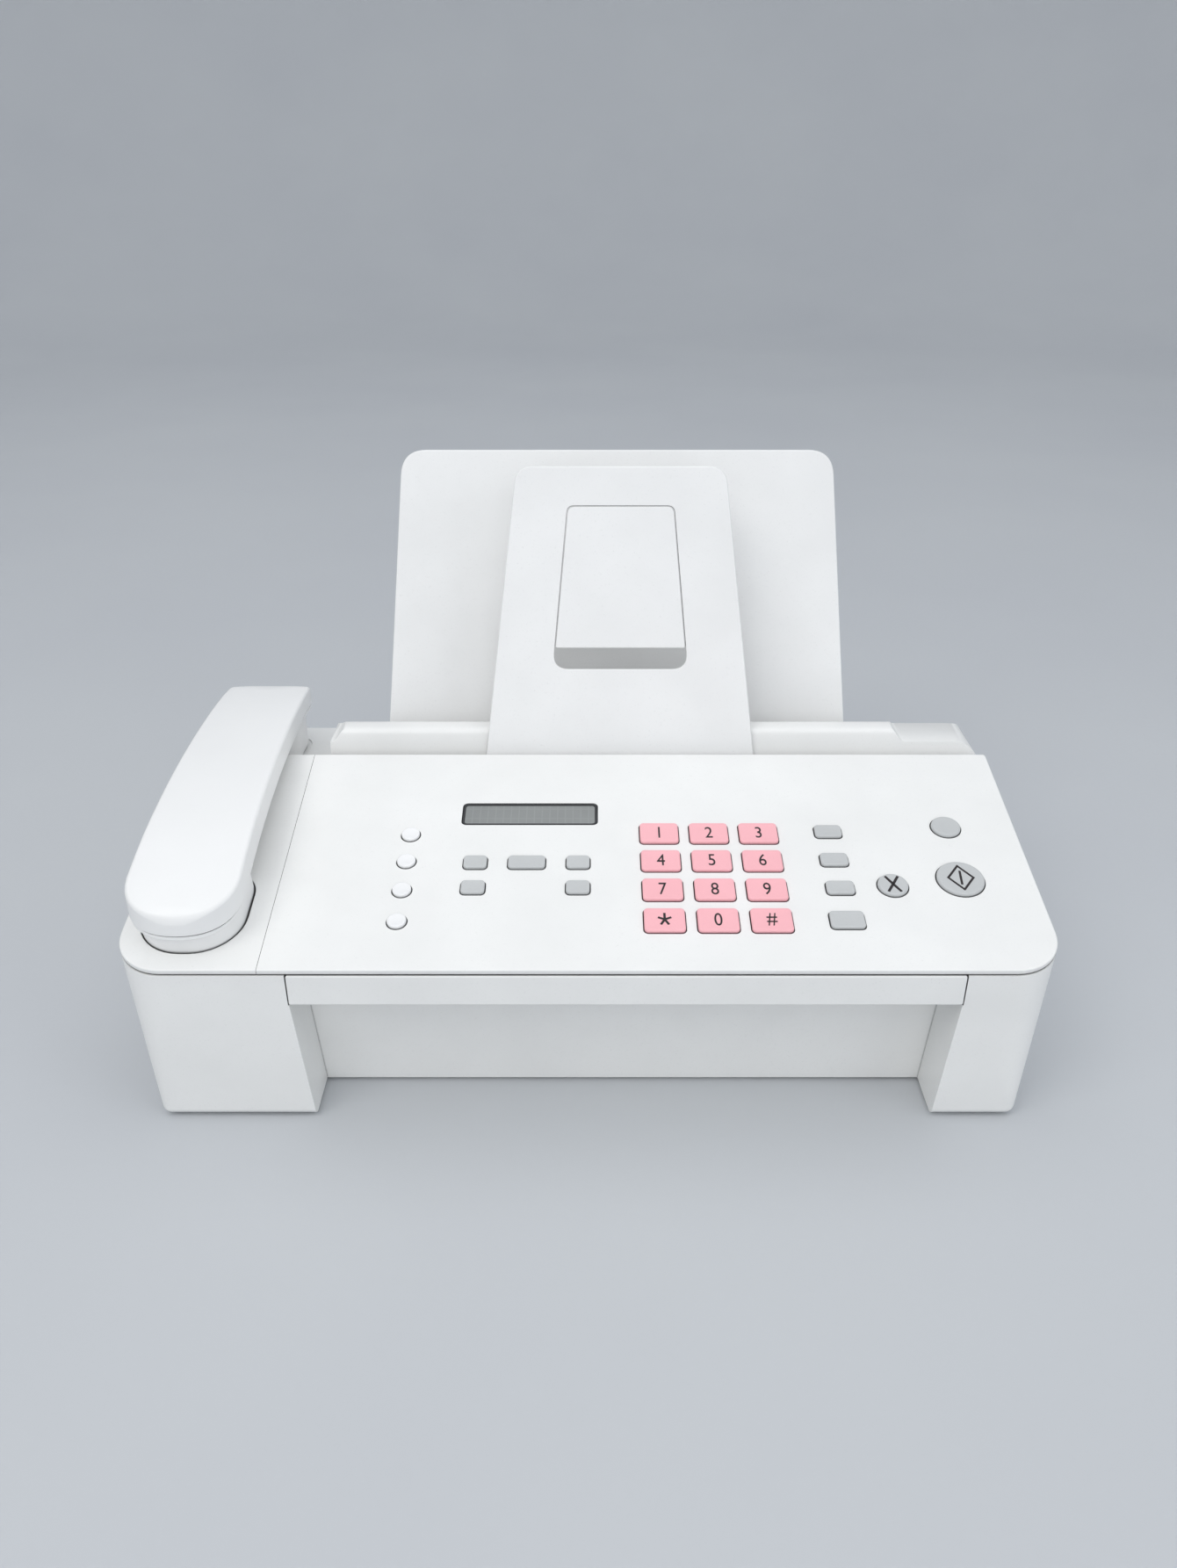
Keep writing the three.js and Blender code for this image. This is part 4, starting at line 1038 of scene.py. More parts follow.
# ---------- rear cover ----------
def cover_skin(inset):
    right, left = HALF_WIDTH - inset, REAR_COVER_LEFT + inset
    shoulder, ridge = SHOULDER_Z - inset, RIDGE_Z - inset
    across = [(left, 60), (right, 60)]
    across += arc(right - 12, shoulder - 12, 12, 0, 90, 12)
    across.append((149 - inset, shoulder))
    across += bezier(across[-1], (146 - inset, shoulder), (146 - inset, ridge), (142 - inset, ridge), 8)
    across.append((-114 + inset, ridge))
    across += bezier(across[-1], (-118 + inset, ridge), (-118 + inset, shoulder), (left, shoulder), 8)
    low = 60 if inset else REAR_SEAT_Z + GAP
    front, rear = 134.6 + inset, BODY_DEPTH - inset
    along = [(front, low), (rear, low), (rear, 86)]
    along += bend((rear, 86), (rear, 88.6 - inset), (rear - 4, 90 - inset))
    along.append((152, RIDGE_Z - 0.9 - inset))
    along += bend(along[-1], (149, RIDGE_Z + 0.2 - inset), (145, RIDGE_Z - inset))
    along += bend(along[-1], (141.4 + inset, RIDGE_Z - inset), (140.8 + inset, RIDGE_Z - 2.6 - inset))
    along.append((front, 92.4))
    return common(prism(across, 120, 200, "xz"), prism(along, -130, 190, "yz"))


def rear_cover():
    def plan(inset):
        loop = rounded(REAR_COVER_LEFT + inset, HALF_WIDTH - inset, 134 + inset, BODY_DEPTH - inset,
                       [0, 0, REAR_CORNER - inset, 0], 10)
        return prism(loop, 50, 120)

    shell = cut(common(cover_skin(0), plan(0)), common(cover_skin(WALL), plan(WALL)))
    h, wall = HOPPER, 2
    around = (h["left"] - wall, h["right"] + wall, h["front"] - wall, h["back"] + wall, h["low"])
    chute = block(*around, 100)
    seat = block(*around, REAR_SEAT_Z + 2)
    below = join(cover_skin(0.8), seat)
    throat = prism(rounded(h["left"], h["right"], h["front"], h["back"], 1.2), h["low"] - 5, 125)
    return cut(join(shell, common(chute, below)), throat)


add("rear_shell", rear_cover(), "casing_white", "casing", "rear_cover", bevel=0.6)


# ---------- paper supports ----------
DOC = {"centre": 14.8, "half_low": 63.6, "half_high": 48, "low": -7, "high": 132.5, "radius": 8}
PAPER = {"centre": 14, "half_low": 114.4, "half_high": 104.6, "low": -28, "high": 133.2, "radius": 12}
FLAP = {"low": 50, "high": 114.4, "scoop": 40.2, "half_low": 30.6, "half_high": 24.6}


def tapered(d, foot=1.2):
    """Plate outline that narrows upwards to two rounded corners."""
    centre, low, high, r = d["centre"], d["low"], d["high"], d["radius"]
    lean = (d["half_low"] - d["half_high"]) / (high - low)
    side = d["half_low"] - lean * (high - r - low)
    right = [(centre + d["half_low"] - foot, low), (centre + d["half_low"], low + foot)]
    right.append((centre + side, high - r))
    right += bend(right[-1], (centre + d["half_high"], high), (centre + d["half_high"] - r, high), 10)
    return mirrored(right, centre)


def window(grow, low, high, low_radius):
    """Outline of the flap's window, which narrows upwards with the plate."""
    centre = DOC["centre"]
    slope = (FLAP["half_low"] - FLAP["half_high"]) / (FLAP["high"] - FLAP["low"])

    def half(u):
        return FLAP["half_low"] - slope * (u - FLAP["low"]) + grow

    r, top = low_radius, 3
    right = [(centre + half(low) - r, low)]
    right += bend(right[0], (centre + half(low), low), (centre + half(low + r), low + r), 8)
    right.append((centre + half(high - top), high - top))
    right += bend(right[-1], (centre + half(high), high), (centre + half(high) - top, high), 6)
    return mirrored(right, centre)


opening = window(0, FLAP["scoop"], FLAP["high"] + GAP, 7.5)
front_plate = plate(tapered(DOC), [opening], -PLATE, 0, 0.7, 0.4)
add("document_plate", front_plate, "support_white", "document_support", "document_support", DOC_FRAME)
flap = plate(window(-GAP, FLAP["low"], FLAP["high"], 1.2), [], -PLATE, 0, 0.45)
add("flap_plate", flap, "support_white", "support_flap", "support_flap", DOC_FRAME)


def paper_support():
    body = plate(tapered(PAPER), [], -PLATE, 0, 0.7)
    ribs = [block(x - 1, x + 1, 12, 120, -PLATE - 3, -PLATE + 0.5) for x in (-56, 84)]
    return join(body, *ribs, block(-56, 84, 66, 68, -PLATE - 3, -PLATE + 0.5))


add("paper_plate", paper_support(), "support_white", "paper_support", "paper_support", PAPER_FRAME)


# ---------- shafts, rollers and gears ----------
def turned(profile, y, z, sides=48):
    """A solid turned about a line along X, from (x, radius) pairs."""
    ring = circle(0, 0, 1, sides)
    return mended(skin([[(x, y + r * a, z + r * b) for a, b in ring] for x, r in profile]))


CLIP = 0.5


def shaft(radius, x0, x1, y, z):
    """A ground shaft with chamfered ends and a groove for a clip outside each upright."""
    left, right = CHASSIS_LEFT - 2 * CLIP, CHASSIS_RIGHT + UPRIGHT + CLIP
    profile = [(x0, radius - 0.4), (x0 + 0.4, radius)]
    for x in (left, right):
        profile += [(x, radius), (x, radius - 0.5), (x + CLIP, radius - 0.5), (x + CLIP, radius)]
    return turned(profile + [(x1 - 0.4, radius), (x1, radius - 0.4)], y, z)


def clips(radius, y, z):
    """The two spring clips that hold a shaft between the uprights."""
    rings = []
    for x in (CHASSIS_LEFT - 2 * CLIP, CHASSIS_RIGHT + UPRIGHT + CLIP):
        ring = rod(radius + 1.7, x + 0.04, x + CLIP - 0.04, y, z, 32)
        mouth = block(x - 1, x + 1, y - 1.2, y + 1.2, z, z + 9)
        rings.append(cut(ring, rod(radius - 0.4, x - 1, x + 1, y, z), mouth))
    return together(*rings)


def collar(radius, bore, x, y, z):
    """A nylon ring that keeps a sleeve in place on its shaft."""
    low, high = radius - 2.4, radius - 1.9
    ring = turned([(x, low), (x + 0.4, high), (x + 1.8, high), (x + 2.2, low)], y, z)
    return cut(ring, rod(bore, x - 1, x + 3, y, z))


GROOVE_PITCH = 22


def sleeve(radius, bore, x0, x1, y, z):
    """A rubber sleeve with shallow grooves round it and a chamfer at each end."""
    count = round((x1 - x0) / GROOVE_PITCH)
    pitch = (x1 - x0) / count
    profile = [(x0, radius - 0.7), (x0 + 0.6, radius)]
    for i in range(1, count):
        x = x0 + i * pitch
        low = radius - 0.5
        profile += [(x - 0.9, radius), (x - 0.6, low), (x + 0.6, low), (x + 0.9, radius)]
    profile += [(x1 - 0.6, radius), (x1, radius - 0.7)]
    return cut(turned(profile, y, z, 64), rod(bore, x0 - 1, x1 + 1, y, z, 48))


ROLLERS = {
    "exit_roller": ("exit", 6.5, -96, 124, 152),
    "document_roller": ("document", 6.5, -84, 112, 152),
    "paper_roller": ("paper", 12, -60, 88, 162),
}
for node, (name, radius, x0, x1, end) in ROLLERS.items():
    y, z, core = SHAFTS[name]
    add(node + "_sleeve", sleeve(radius, core, x0, x1, y, z), "roller_rubber", node, node)
    add(node + "_shaft", shaft(core - 0.02, CHASSIS_LEFT - 2, end, y, z), "shaft_steel", node)
    add(node + "_clips", clips(core, y, z), "shaft_steel", node, bevel=0.05)
    for side, x in (("left", x0 - 2.4), ("right", x1 + 0.2)):
        add(node + "_collar_" + side, collar(radius, core, x, y, z), "gear_nylon", node)

y, z, core = SHAFTS["carriage"]
rail = shaft(core, CHASSIS_LEFT - 2, CHASSIS_RIGHT + UPRIGHT + 2, y, z)
add("carriage_rail", rail, "shaft_steel", "casing", "carriage_rod")
add("carriage_rail_clips", clips(core, y, z), "shaft_steel", "casing", bevel=0.05)

GEAR_X = 153
GEAR_WIDTH = 5
TO_PINION = math.atan2(MOTOR_Z - SHAFTS["paper"][1], MOTOR_Y - SHAFTS["paper"][0])


def gear_outline(teeth, turn, y, z):
    """Tooth flanks as short curves between the root and tip circles."""
    pitch = GEAR_MODULE * teeth / 2
    root, tip = pitch - 1.2 * GEAR_MODULE, pitch + 0.85 * GEAR_MODULE
    half = 0.23 * 2 * math.pi / teeth
    flank = [(root, 1.5), (root + 0.25 * (tip - root), 1.28), (root + 0.6 * (tip - root), 0.9), (tip, 0.45)]
    loop = []
    for i in range(teeth):
        middle = turn + i * 2 * math.pi / teeth
        for r, share in [(r, -s) for r, s in flank] + flank[::-1]:
            angle = middle + share * half
            loop.append((y + r * math.cos(angle), z + r * math.sin(angle)))
    return loop


def feed_gear():
    """A moulded gear: toothed rim, thin web with round holes, hub."""
    y, z, bore = SHAFTS["paper"]
    body = prism(gear_outline(GEAR_TEETH, TO_PINION, y, z), GEAR_X, GEAR_X + GEAR_WIDTH, "yz")
    rim, hub, web, holes_at, hole = 17.6, 7, 1.5, 12.3, 3.1
    right = GEAR_X + GEAR_WIDTH
    tools = [rod(bore + GAP, GEAR_X - 1, GEAR_X + 9, y, z, 48)]
    for low, high in ((GEAR_X - 1, GEAR_X + web), (right - web, right + 1)):
        tools.append(cut(rod(rim, low, high, y, z, 64), rod(hub, low - 1, high + 1, y, z, 48)))
    tools += [rod(hole, GEAR_X - 1, GEAR_X + 9, *spot, 28) for spot in circle(y, z, holes_at, 6)]
    return cut(body, *tools)


add("feed_gear_wheel", feed_gear(), "gear_nylon", "paper_roller", "feed_gear", bevel=0.15)

half_tooth = math.pi / PINION_TEETH
AXLE_BORE = 1.9
teeth = gear_outline(PINION_TEETH, TO_PINION + math.pi + half_tooth, MOTOR_Y, MOTOR_Z)
pinion = prism(teeth, GEAR_X, GEAR_X + GEAR_WIDTH, "yz")
pinion = cut(pinion, rod(AXLE_BORE, GEAR_X - 1, GEAR_X + 9, MOTOR_Y, MOTOR_Z, 32))
add("pinion_teeth", pinion, "gear_nylon", "motor_pinion", "motor_pinion", bevel=0.15)
axle = turned([(133, 1.5), (133.4, 1.88), (158.6, 1.88), (159, 1.5)], MOTOR_Y, MOTOR_Z, 40)
add("pinion_axle", axle, "shaft_steel", "motor_pinion")


def motor_can():
    """A drawn can with a rolled rear edge, pressed ribs and a boss through the upright."""
    face = CHASSIS_RIGHT - GAP
    profile = [(120.2, 11.6), (120.5, 12.3), (121.4, 13), (128, 13), (128.4, 12.6), (129.6, 12.6), (130, 13)]
    profile += [(face - 0.8, 13), (face, 12.4), (face, 6), (CHASSIS_RIGHT + 1.6, 6), (CHASSIS_RIGHT + 2, 5.6)]
    vents = []
    for y, z in arc(MOTOR_Y, MOTOR_Z, 12.4, 45, 315, 3):
        vents.append(block(132, 140, y - 1.1, y + 1.1, z - 1.1, z + 1.1))
    bore = rod(AXLE_BORE + GAP, 130, 160, MOTOR_Y, MOTOR_Z, 32)
    return cut(turned(profile, MOTOR_Y, MOTOR_Z, 64), bore, *vents)


add("motor_can", motor_can(), "motor_steel", "casing", "feed_motor", bevel=0.12)
cap = turned([(118.2, 9), (118.6, 10.6), (120, 11.4), (121, 11.4)], MOTOR_Y, MOTOR_Z, 48)
add("motor_end_cap", cap, "black_plastic", "casing")
for side, y in (("front", MOTOR_Y - 6.5), ("rear", MOTOR_Y + 6.5)):
    tab = block(118, 118.8, y - 1.2, y + 1.2, MOTOR_Z + 4, MOTOR_Z + 11.5)
    tab = cut(tab, rod(0.6, 116, 121, y, MOTOR_Z + 10, 16))
    add("motor_tab_" + side, tab, "shaft_steel", "casing", look="brass", bevel=0.08)


# ---------- scanner and ink carriage ----------
def scanner_housing():
    """The image sensor's long housing, ribbed along both sides and open for its glass."""
    x0, x1 = CHASSIS_LEFT + UPRIGHT + GAP, CHASSIS_RIGHT - GAP
    body = block(x0, x1, 98, 110, 64, 72.8)
    tools = [block(x0 + 3, x1 - 3, 99.8, 108.2, 71.8, 75)]
    count = 13
    pitch = (x1 - x0 - 4) / count
    for i in range(count):
        left = x0 + 2.6 + i * pitch
        for low, high in ((97, 98.6), (109.4, 111)):
            tools.append(block(left, left + pitch - 1.2, low, high, 65.4, 70.6))
    return cut(body, *tools)


add("scanner_housing", scanner_housing(), "black_plastic", "casing", "scanner_bar", bevel=0.2)
x0, x1 = CHASSIS_LEFT + UPRIGHT + GAP, CHASSIS_RIGHT - GAP
pane = plate(rounded(x0 + 3.2, x1 - 3.2, 100, 108, 0.6), [], 71.85, 73, 0.15)
add("scanner_glass", pane, "display_window", "casing", look="glass")


def carriage_tub():
    """An open tub for the cartridge with a split bearing block behind it."""
    y, z, core = SHAFTS["carriage"]
    low = plate(rounded(96, 142, 58, 102, 1.5), [], 30, 54, 0.6)
    tools = [block(98, 140, 59.6, 84.8, 32, 60), block(100, 138, 87, 101, 51, 60)]
    tools.append(rod(core + GAP, 90, 150, y, z, 40))
    for x in (104, 116, 128):
        tools.append(block(x, x + 6, 57, 59, 36, 50))
    return cut(low, *tools)


add("carriage_tub", carriage_tub(), "black_plastic", "ink_carriage", "ink_carriage", bevel=0.25)
y, z, core = SHAFTS["carriage"]
for side, x in (("left", 95.6), ("right", 139.4)):
    bush = cut(rod(5.2, x, x + 3, y, z, 40), rod(core + 0.12, x - 1, x + 4, y, z, 40))
    add("carriage_bush_" + side, bush, "shaft_steel", "ink_carriage", look="brass", bevel=0.2)


def cartridge():
    """An ink cartridge with a stepped lid and finger ridges."""
    body = plate(rounded(99, 139, 60.4, 84, 2), [], 34, 60.5, 0.8)
    lid = plate(rounded(101, 137, 62, 82.5, 2.4), [], 59.5, 64, 0.9)
    ridges = [block(108, 130, 64 + 2.4 * i, 65.1 + 2.4 * i, 63.4, 65) for i in range(4)]
    return cut(join(body, lid), *ridges)


add("cartridge_body", cartridge(), "black_plastic", "ink_carriage", bevel=0.15)
label = plate(rounded(104, 134, 75, 81, 1), [], 63.9, 64.15, 0.05)
add("cartridge_label", label, "casing_white", "ink_carriage")
nozzles = plate(rounded(110, 128, 66, 78, 1), [], 30.3, 32.4, 0.1)
add("cartridge_nozzles", nozzles, "shaft_steel", "ink_carriage", look="brass")
for i in range(3):
    lock = plate(rounded(101 + i * 13.5, 111 + i * 13.5, 87.6, 100.4, 1), [], 51.2, 54.6, 0.4)
    add("carriage_latch_%d" % (i + 1), lock, "gear_nylon", "ink_carriage")


# ---------- electronics ----------
BOARD_TOP = BOARD_Z + 1.6


def laminate(x0, x1, y0, y1, holes):
    loops = [circle(x, y, 1.7, 20) for x, y in holes]
    return plate(rounded(x0, x1, y0, y1, 1.5), loops, BOARD_Z, BOARD_TOP, 0.1)


def chip(x0, y0, width, length, height, z=BOARD_TOP):
    """A moulded chip with a dimple by its first leg."""
    body = plate(rounded(x0, x0 + width, y0, y0 + length, 0.4, 2), [], z + 0.2, z + height, 0.15, steps=2)
    return cut(body, post(0.6, x0 + 1.6, y0 + length - 1.6, z + height - 0.12, z + height + 1, 16))


LEG = [(-0.1, 0.95), (0.5, 0.95), (0.75, 0.2), (1.35, 0.2), (1.35, 0), (0.6, 0), (0.35, 0.75), (-0.1, 0.75)]


def legs(x0, y0, width, length, pitch=1.27, all_round=False, z=BOARD_TOP):
    """Bent legs along the two long sides of a chip, or along all four."""
    half = 0.2
    sides = [(x0, width, y0, length, "yz")]
    if all_round:
        sides.append((y0, length, x0, width, "xz"))
    made = []
    for start, run, near, across, plane in sides:
        count = int((run - 1) / pitch)
        for i in range(count):
            middle = start + run / 2 + (i - (count - 1) / 2) * pitch
            far_leg = [(near + across + a, z + b) for a, b in LEG[::-1]]
            near_leg = [(near - a, z + b) for a, b in LEG]
            made += [prism(leg, middle - half, middle + half, plane) for leg in (far_leg, near_leg)]
    return mended(together(*made))


def capacitor(x, y, radius, tall, z=BOARD_TOP):
    """An electrolytic can with a crimp near its foot and a scored top."""
    can = stack(circle(x, y, radius, 32), [(-0.4, z), (0, z + 0.4), (0, z + 1.2), (-0.4, z + 1.6), (0, z + 2),
                                          (0, z + tall - 0.6), (-0.6, z + tall)])
    score = 0.55 * radius
    return cut(can, block(x - score, x + score, y - 0.2, y + 0.2, z + tall - 0.25, z + tall + 1),
               block(x - 0.2, x + 0.2, y - score, y + score, z + tall - 0.25, z + tall + 1))


def header(x0, y0, width, length, tall, z=BOARD_TOP):
    """A plug's open shroud and the row of pins in it."""
    wall, pitch, half = 0.8, 2.5, 0.32
    shroud = block(x0, x0 + width, y0, y0 + length, z, z + tall)
    inside = block(x0 + wall, x0 + width - wall, y0 + wall, y0 + length - wall, z + 1.4, z + tall + 1)
    pins = []
    count = int((width - 3) / pitch) + 1
    middle = y0 + length / 2
    for i in range(count):
        x = x0 + width / 2 + (i - (count - 1) / 2) * pitch
        pins.append(block(x - half, x + half, middle - half, middle + half, z + 1, z + tall - 1.4))
    return cut(shroud, inside), together(*pins)


def passives(places, z=BOARD_TOP):
    """Small surface-mounted parts, and the tinned ends of each."""
    bodies, ends = [], []
    for x, y in places:
        bodies.append(block(x - 0.7, x + 0.7, y - 0.6, y + 0.6, z, z + 0.65))
        for x0, x1 in ((x - 1.1, x - 0.7), (x + 0.7, x + 1.1)):
            ends.append(block(x0, x1, y - 0.62, y + 0.62, z, z + 0.68))
    return together(*bodies), together(*ends)


def scattered(count, x0, pitch, y0, step=0, rows=1):
    """Places along X whose Y steps through a number of rows."""
    return [(x0 + pitch * i, y0 + step * (i % rows)) for i in range(count)]


CHIPS = [(-60, 70, 22, 22, 1.6, True), (-10, 76, 14, 10, 1.4, False), (30, 60, 18, 26, 1.4, True)]
add("main_laminate", laminate(-104, 92, 40, 142, BOARD_POSTS[:4]), "circuit_board", "casing", "main_board")
for i, (x0, y0, width, length, height, all_round) in enumerate(CHIPS, 1):
    add("main_chip_%d" % i, chip(x0, y0, width, length, height), "black_plastic", "casing")
    row = legs(x0, y0, width, length, all_round=all_round)
    add("main_chip_legs_%d" % i, row, "shaft_steel", "casing", look="solder")
for i, (x0, width) in enumerate(((-90, 40), (10, 30)), 1):
    shroud, pins = header(x0, 128, width, 6, 7)
    add("main_plug_%d" % i, shroud, "gear_nylon", "casing", bevel=0.12)
    add("main_plug_pins_%d" % i, pins, "shaft_steel", "casing", look="brass")
SPREAD = scattered(6, -88, 5, 56, 4, 3) + scattered(11, -30, 4.2, 60, 3.4, 2)
SPREAD += [(56 + 4 * (i % 4), 62 + 5 * (i // 4)) for i in range(16)]
SPREAD += scattered(12, -92, 4.5, 112) + scattered(14, -8, 4.5, 104, 4, 2)
bodies, ends = passives(SPREAD)
add("main_passives", bodies, "black_plastic", "casing")
add("main_passive_ends", ends, "shaft_steel", "casing", look="solder")
CAPACITORS = [(-88, 74, 4, 9), (-88, 86, 4, 9), (66, 112, 5, 12), (80, 112, 5, 12)]
for i, place in enumerate(CAPACITORS, 1):
    add("main_capacitor_%d" % i, capacitor(*place), "motor_steel", "casing")
crystal = plate(rounded(2, 13, 60, 64.5, 2.2, 8), [], BOARD_TOP, BOARD_TOP + 3.2, 0.4)
add("main_crystal", crystal, "motor_steel", "casing")

board = laminate(-170, -124, 92, 174, BOARD_POSTS[4:])
add("power_laminate", board, "circuit_board", "casing", "power_board")
core = plate(rounded(-160, -136, 104, 124, 0.8), [], BOARD_TOP + 3, BOARD_TOP + 18, 0.4)
core = cut(core, *[block(x, x + 4, 102, 126, BOARD_TOP + 6, BOARD_TOP + 20) for x in (-156, -144)])
add("transformer_core", core, "black_plastic", "casing", bevel=0.2)
winding = plate(rounded(-157, -139, 105.5, 122.5, 2), [], BOARD_TOP + 4.5, BOARD_TOP + 16.5, 0.8)
add("transformer_winding", winding, "shaft_steel", "casing", look="brass")
bobbin = plate(rounded(-161, -135, 103, 125, 1), [], BOARD_TOP, BOARD_TOP + 3, 0.3)
add("transformer_bobbin", bobbin, "gear_nylon", "casing")
add("mains_capacitor", capacitor(-154, 140, 6, 22), "motor_steel", "casing")
fins = block(-140, -130, 150, 166, BOARD_TOP, BOARD_TOP + 14)
slots = [(151.2 + i * 3.1, 152.9 + i * 3.1) for i in range(5)]
fins = cut(fins, *[block(-141, -132, y0, y1, BOARD_TOP + 1, BOARD_TOP + 16) for y0, y1 in slots])
add("heat_sink", fins, "motor_steel", "casing", bevel=0.15)
add("power_switch", chip(-144.2, 153, 3.6, 10, 9), "black_plastic", "casing")
profile = [(-160, 2.4), (-159.6, 2.6), (-155.4, 2.6), (-155, 2.2)]
profile += [(-145, 2.2), (-144.6, 2.6), (-140.4, 2.6), (-140, 2.4)]
fuse = turned(profile, 98, BOARD_TOP + 3)
add("power_fuse", fuse, "shaft_steel", "casing", look="solder")


# ---------- speaker ----------
SPEAKER = (43.5, 28)


def ring_of(outer, inner, sides=56):
    """A turned ring from an outer and an inner list of (x, radius) pairs."""
    return cut(turned(outer, *SPEAKER, sides), turned(inner, *SPEAKER, sides))


profile = [(-163, 8.4), (-162.6, 9), (-159.4, 9), (-159.2, 8.2)]
profile += [(-158.8, 8.2), (-158.6, 9), (-156.4, 9), (-156, 8.6)]
add("speaker_magnet", turned(profile, *SPEAKER, 56), "motor_steel", "casing")
outer = [(-170, 18.1), (-169.6, 18.5), (-168.4, 18.5), (-168, 18.1), (-168, 16.6), (-163, 9.4), (-162.4, 9.4)]
basket = ring_of(outer, [(-171, 16.6), (-168.8, 16), (-163, 8), (-162, 8)])
windows = []
for y, z in arc(*SPEAKER, 13, 45, 315, 3):
    windows.append(block(-167.4, -163.4, y - 2.4, y + 2.4, z - 2.4, z + 2.4))
add("speaker_basket", cut(basket, *windows), "black_plastic", "casing", "speaker", bevel=0.12)
surround = [(-169.2, 16.2), (-169.9, 15.4), (-169.9, 14.8), (-169, 14)]
cone = surround + [(-168.2 + 0.8 * i, 13.2 - 1.6 * i) for i in range(6)]
inner = [(x + 0.35, r) for x, r in cone]
points = []
ring = circle(0, 0, 1, 56)
for x, r in cone + inner[::-1]:
    points.append([(x, SPEAKER[0] + r * a, SPEAKER[1] + r * b) for a, b in ring])


def hoop(rings):
    """A closed skin whose last ring joins back to its first."""
    faces = bands(len(rings), len(rings[0]), closed=True)
    return mended(thing([p for ring in rings for p in ring], faces))


add("speaker_cone", hoop(points), "black_plastic", "casing", look="cone_paper")
profile = [(-166.6, 0.4), (-166.5, 1.6), (-166, 3.2), (-165.2, 4.4), (-164.4, 5.2), (-163.8, 5.2)]
add("speaker_dust_cap", turned(profile, *SPEAKER, 48), "black_plastic", "casing", look="cone_paper")


# ---------- sockets at the rear ----------
JACK_MOUTHS = (JACK["x0"] + 4, JACK["x1"] - 15.6)


def socket_body(sides, corner, soft):
    return placed(plate(framed(sides, 0, corner), [], -190, -174, soft), UPRIGHT_TURN)


def jack_body():
    """A double telephone jack: stepped mouths with a slot for each plug's latch."""
    body = socket_body(JACK, 0.6, 0.3)
    tools = []
    for x in JACK_MOUTHS:
        tools.append(block(x, x + 11.6, 188.6, 195, JACK["z0"] + 4, JACK["z1"] - 5))
        tools.append(block(x + 0.8, x + 10.8, 178.6, 195, JACK["z0"] + 5.2, JACK["z1"] - 5.6))
        tools.append(block(x + 3.6, x + 8, 178.6, 195, JACK["z0"] + 2.6, JACK["z0"] + 6))
        tools.append(block(x + 2.4, x + 9.2, 186, 195, JACK["z0"] + 3.8, JACK["z0"] + 6))
    return mended(cut(body, *tools), 0.02)


add("jack_body", jack_body(), "black_plastic", "casing", "jack_block", bevel=0.12)
bent = [(179, -6), (187.6, -6), (180.4, -9.4), (179.9, -9.1), (186, -6.5), (179, -6.5)]
profile = [(y, JACK["z1"] + down) for y, down in bent]
lefts = [x + 4 + i * 1.2 for x in JACK_MOUTHS for i in range(4)]
wires = [prism(profile, left, left + 0.4, "yz") for left in lefts]
add("jack_contacts", mended(together(*wires)), "shaft_steel", "casing", look="brass")


PIN_SHIFT = 4.1
INLET_X = (INLET["x0"] + INLET["x1"]) / 2
INLET_Z = (INLET["z0"] + INLET["z1"]) / 2


def inlet_body():
    """A two-pin mains inlet with a figure-of-eight mouth."""
    body = socket_body(INLET, 1.2, 0.4)
    lobes = []
    for shift in (-PIN_SHIFT, PIN_SHIFT):
        lobes.append(placed(post(4.9, INLET_X + shift, INLET_Z, -195, -181.4, 32), UPRIGHT_TURN))
    bridge = block(INLET_X - 4, INLET_X + 4, 181.4, 195, INLET_Z - 3.7, INLET_Z + 3.7)
    return cut(body, join(*lobes, bridge))


add("inlet_body", inlet_body(), "black_plastic", "casing", "power_inlet", bevel=0.2)
for side, x in (("left", INLET_X - PIN_SHIFT), ("right", INLET_X + PIN_SHIFT)):
    profile = [(-0.7, -189.2), (-0.25, -188.9), (0, -188.4), (0, -181.5)]
    pin = mended(placed(stack(circle(x, INLET_Z, 1.15, 24), profile), UPRIGHT_TURN))
    add("inlet_pin_" + side, pin, "shaft_steel", "casing", look="solder")


# ---------- screws ----------
def screw(x, y, z, radius, tall, facing=1):
    """A pan head with a cross recess, facing up or down."""
    loop = circle(x, y, radius, 28)
    head = stack(loop, [(0, 0), (0, 0.4 * tall), (-0.12 * radius, 0.8 * tall), (-0.4 * radius, tall)])
    arm, slot = 0.55 * radius, 0.13 * radius
    head = cut(head, block(x - arm, x + arm, y - slot, y + slot, 0.45 * tall, tall + 1),
               block(x - slot, x + slot, y - arm, y + arm, 0.45 * tall, tall + 1))
    return mended(placed(head, Matrix.Translation((0, 0, z)) @ Matrix.Diagonal((1, 1, facing, 1))))


heads = [screw(x, y, FOOT_LIFT + 1.6, 2.9, 1.3, -1) for x, y in SCREWS]
add("base_screws", together(*heads), "shaft_steel", "casing")
heads = [screw(x, y, BOARD_TOP, 2.6, 1.2) for x, y in BOARD_POSTS]
add("board_screws", together(*heads), "shaft_steel", "casing")

# ---------- what hangs under the control panel ----------
FACING_DOWN = Matrix.Diagonal((1, 1, -1, 1))


def hang(name, obj, slot, look=None):
    """Adds a piece that lies under the panel, in the deck's frame."""
    add(name, obj, slot, "panel", matrix=DECK, look=look)


def flipped(obj):
    return mended(placed(obj, FACING_DOWN))


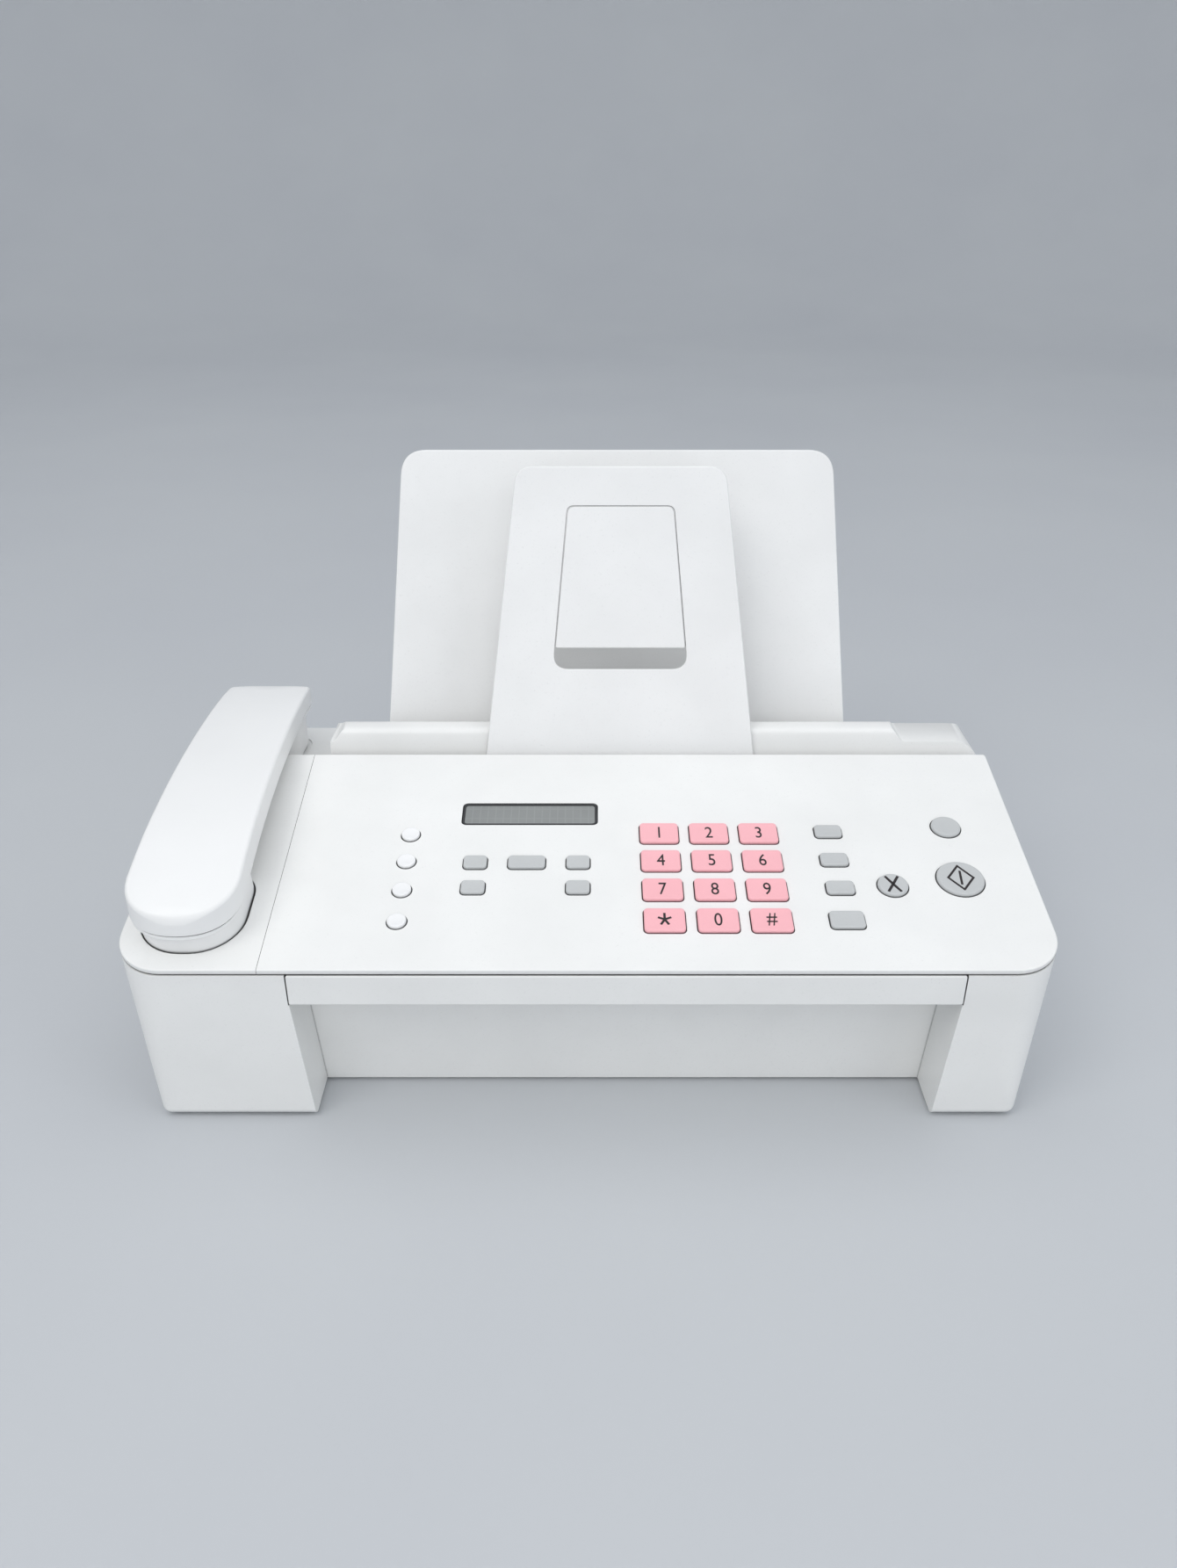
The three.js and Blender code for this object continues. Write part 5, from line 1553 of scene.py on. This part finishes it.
outline = rounded(WINDOW["x0"] - 4, WINDOW["x1"] + 4, 80.4, 100, 1)
hang("display_module_frame", plate(outline, [window_outline(-1.6, 0.8)], -5.8, -2.6, 0.2), "motor_steel")
hang("display_module_cell", plate(window_outline(-1.2, 0.8), [], -5.6, -2.2, 0.1), "display_window")
UNDER_CHIPS = [(-60, 34, 14, 8), (20, 60, 22, 10), (120, 30, 12, 6)]
for i, place in enumerate(UNDER_CHIPS, 1):
    hang("panel_chip_%d" % i, flipped(chip(*place, 1.3, -LAMINATE_LOW)), "black_plastic")
    hang("panel_chip_legs_%d" % i, flipped(legs(*place, z=-LAMINATE_LOW)), "shaft_steel", "solder")
bodies, ends = passives(scattered(18, -40, 9, 84, 3, 2), -LAMINATE_LOW)
hang("panel_passives", flipped(bodies), "black_plastic")
hang("panel_passive_ends", flipped(ends), "shaft_steel", "solder")
heads = [screw(x, s, LAMINATE_LOW, 2.4, 1.1, -1) for x, s in PANEL_POSTS]
hang("panel_screws", together(*heads), "shaft_steel")


# ---------- floor, light and camera ----------
def cove():
    """A pale floor that turns up into a wall all round."""
    flat, bend_radius, height = 2.0, 1.2, 3.0
    profile = [(0.001, 0), (flat, 0)]
    profile += [(flat + x, bend_radius + z) for x, z in arc(0, 0, bend_radius, -80, 0, 8)]
    profile.append((flat + bend_radius, height))
    sides = 64
    points = [(x, y, z) for r, z in profile for x, y in circle(0, 0, r, sides)]
    obj = thing(points, bands(len(profile), sides), "cove")
    obj.data.polygons.foreach_set("use_smooth", [True] * len(obj.data.polygons))
    n = Nodes("pale_floor")
    speck = n.spread(n.noise(3.0, 3.0), 0.0, 1.0)
    colour = n.blend(speck, shade(0xC4C7CB), shade(0xC8CBCE))
    obj.data.materials.append(n.finish(colour, n.spread(n.noise(400.0), 0.55, 0.65), None))


def softbox(name, place, aim, size, power, colour):
    """A round lamp that the camera doesn't see; places and size in metres, power in watts."""
    light = bpy.data.lights.new(name, "AREA")
    light.shape = "DISK"
    light.size = size
    light.energy = power
    light.color = colour
    obj = linked(name, light)
    obj.location = place
    obj.rotation_euler = (Vector(aim) - Vector(place)).to_track_quat("-Z", "Y").to_euler()
    obj.visible_camera = False


cove()
WARM, COOL, NEUTRAL = (1.0, 0.985, 0.96), (0.95, 0.975, 1.0), (1.0, 1.0, 1.0)
MIDDLE = (0, 0, 0.1)
softbox("key_light", (-0.9, -0.9, 1.5), MIDDLE, size=1.1, power=7.5, colour=WARM)
softbox("fill_light", (1.3, -0.8, 0.9), MIDDLE, size=1.2, power=4, colour=COOL)
softbox("front_light", (0, -1.8, 0.9), MIDDLE, size=1.5, power=7, colour=NEUTRAL)
softbox("overhead_light", (0, 0.2, 3.0), (0, 0.2, 0), size=4.0, power=28, colour=NEUTRAL)
world = bpy.data.worlds.new("studio")
world.use_nodes = True
background = world.node_tree.nodes["Background"].inputs
background["Color"].default_value = (0.9, 0.94, 1.0, 1.0)
background["Strength"].default_value = 0.6
bpy.context.scene.world = world
bpy.context.scene.view_settings.view_transform = "Standard"

EYE_BACK = 0.379
EYE_HEIGHT = 0.3585
EYE_DOWN = math.radians(28)
lens_data = bpy.data.cameras.new("camera")
lens_data.lens = 28
lens_data.sensor_width = 36
lens_data.clip_start = 0.01
camera = linked("camera", lens_data)
camera.location = (0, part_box("lower_casing")[0].y - EYE_BACK, EYE_HEIGHT)
camera.rotation_euler = (math.pi / 2 - EYE_DOWN, 0, 0)
bpy.context.scene.camera = camera
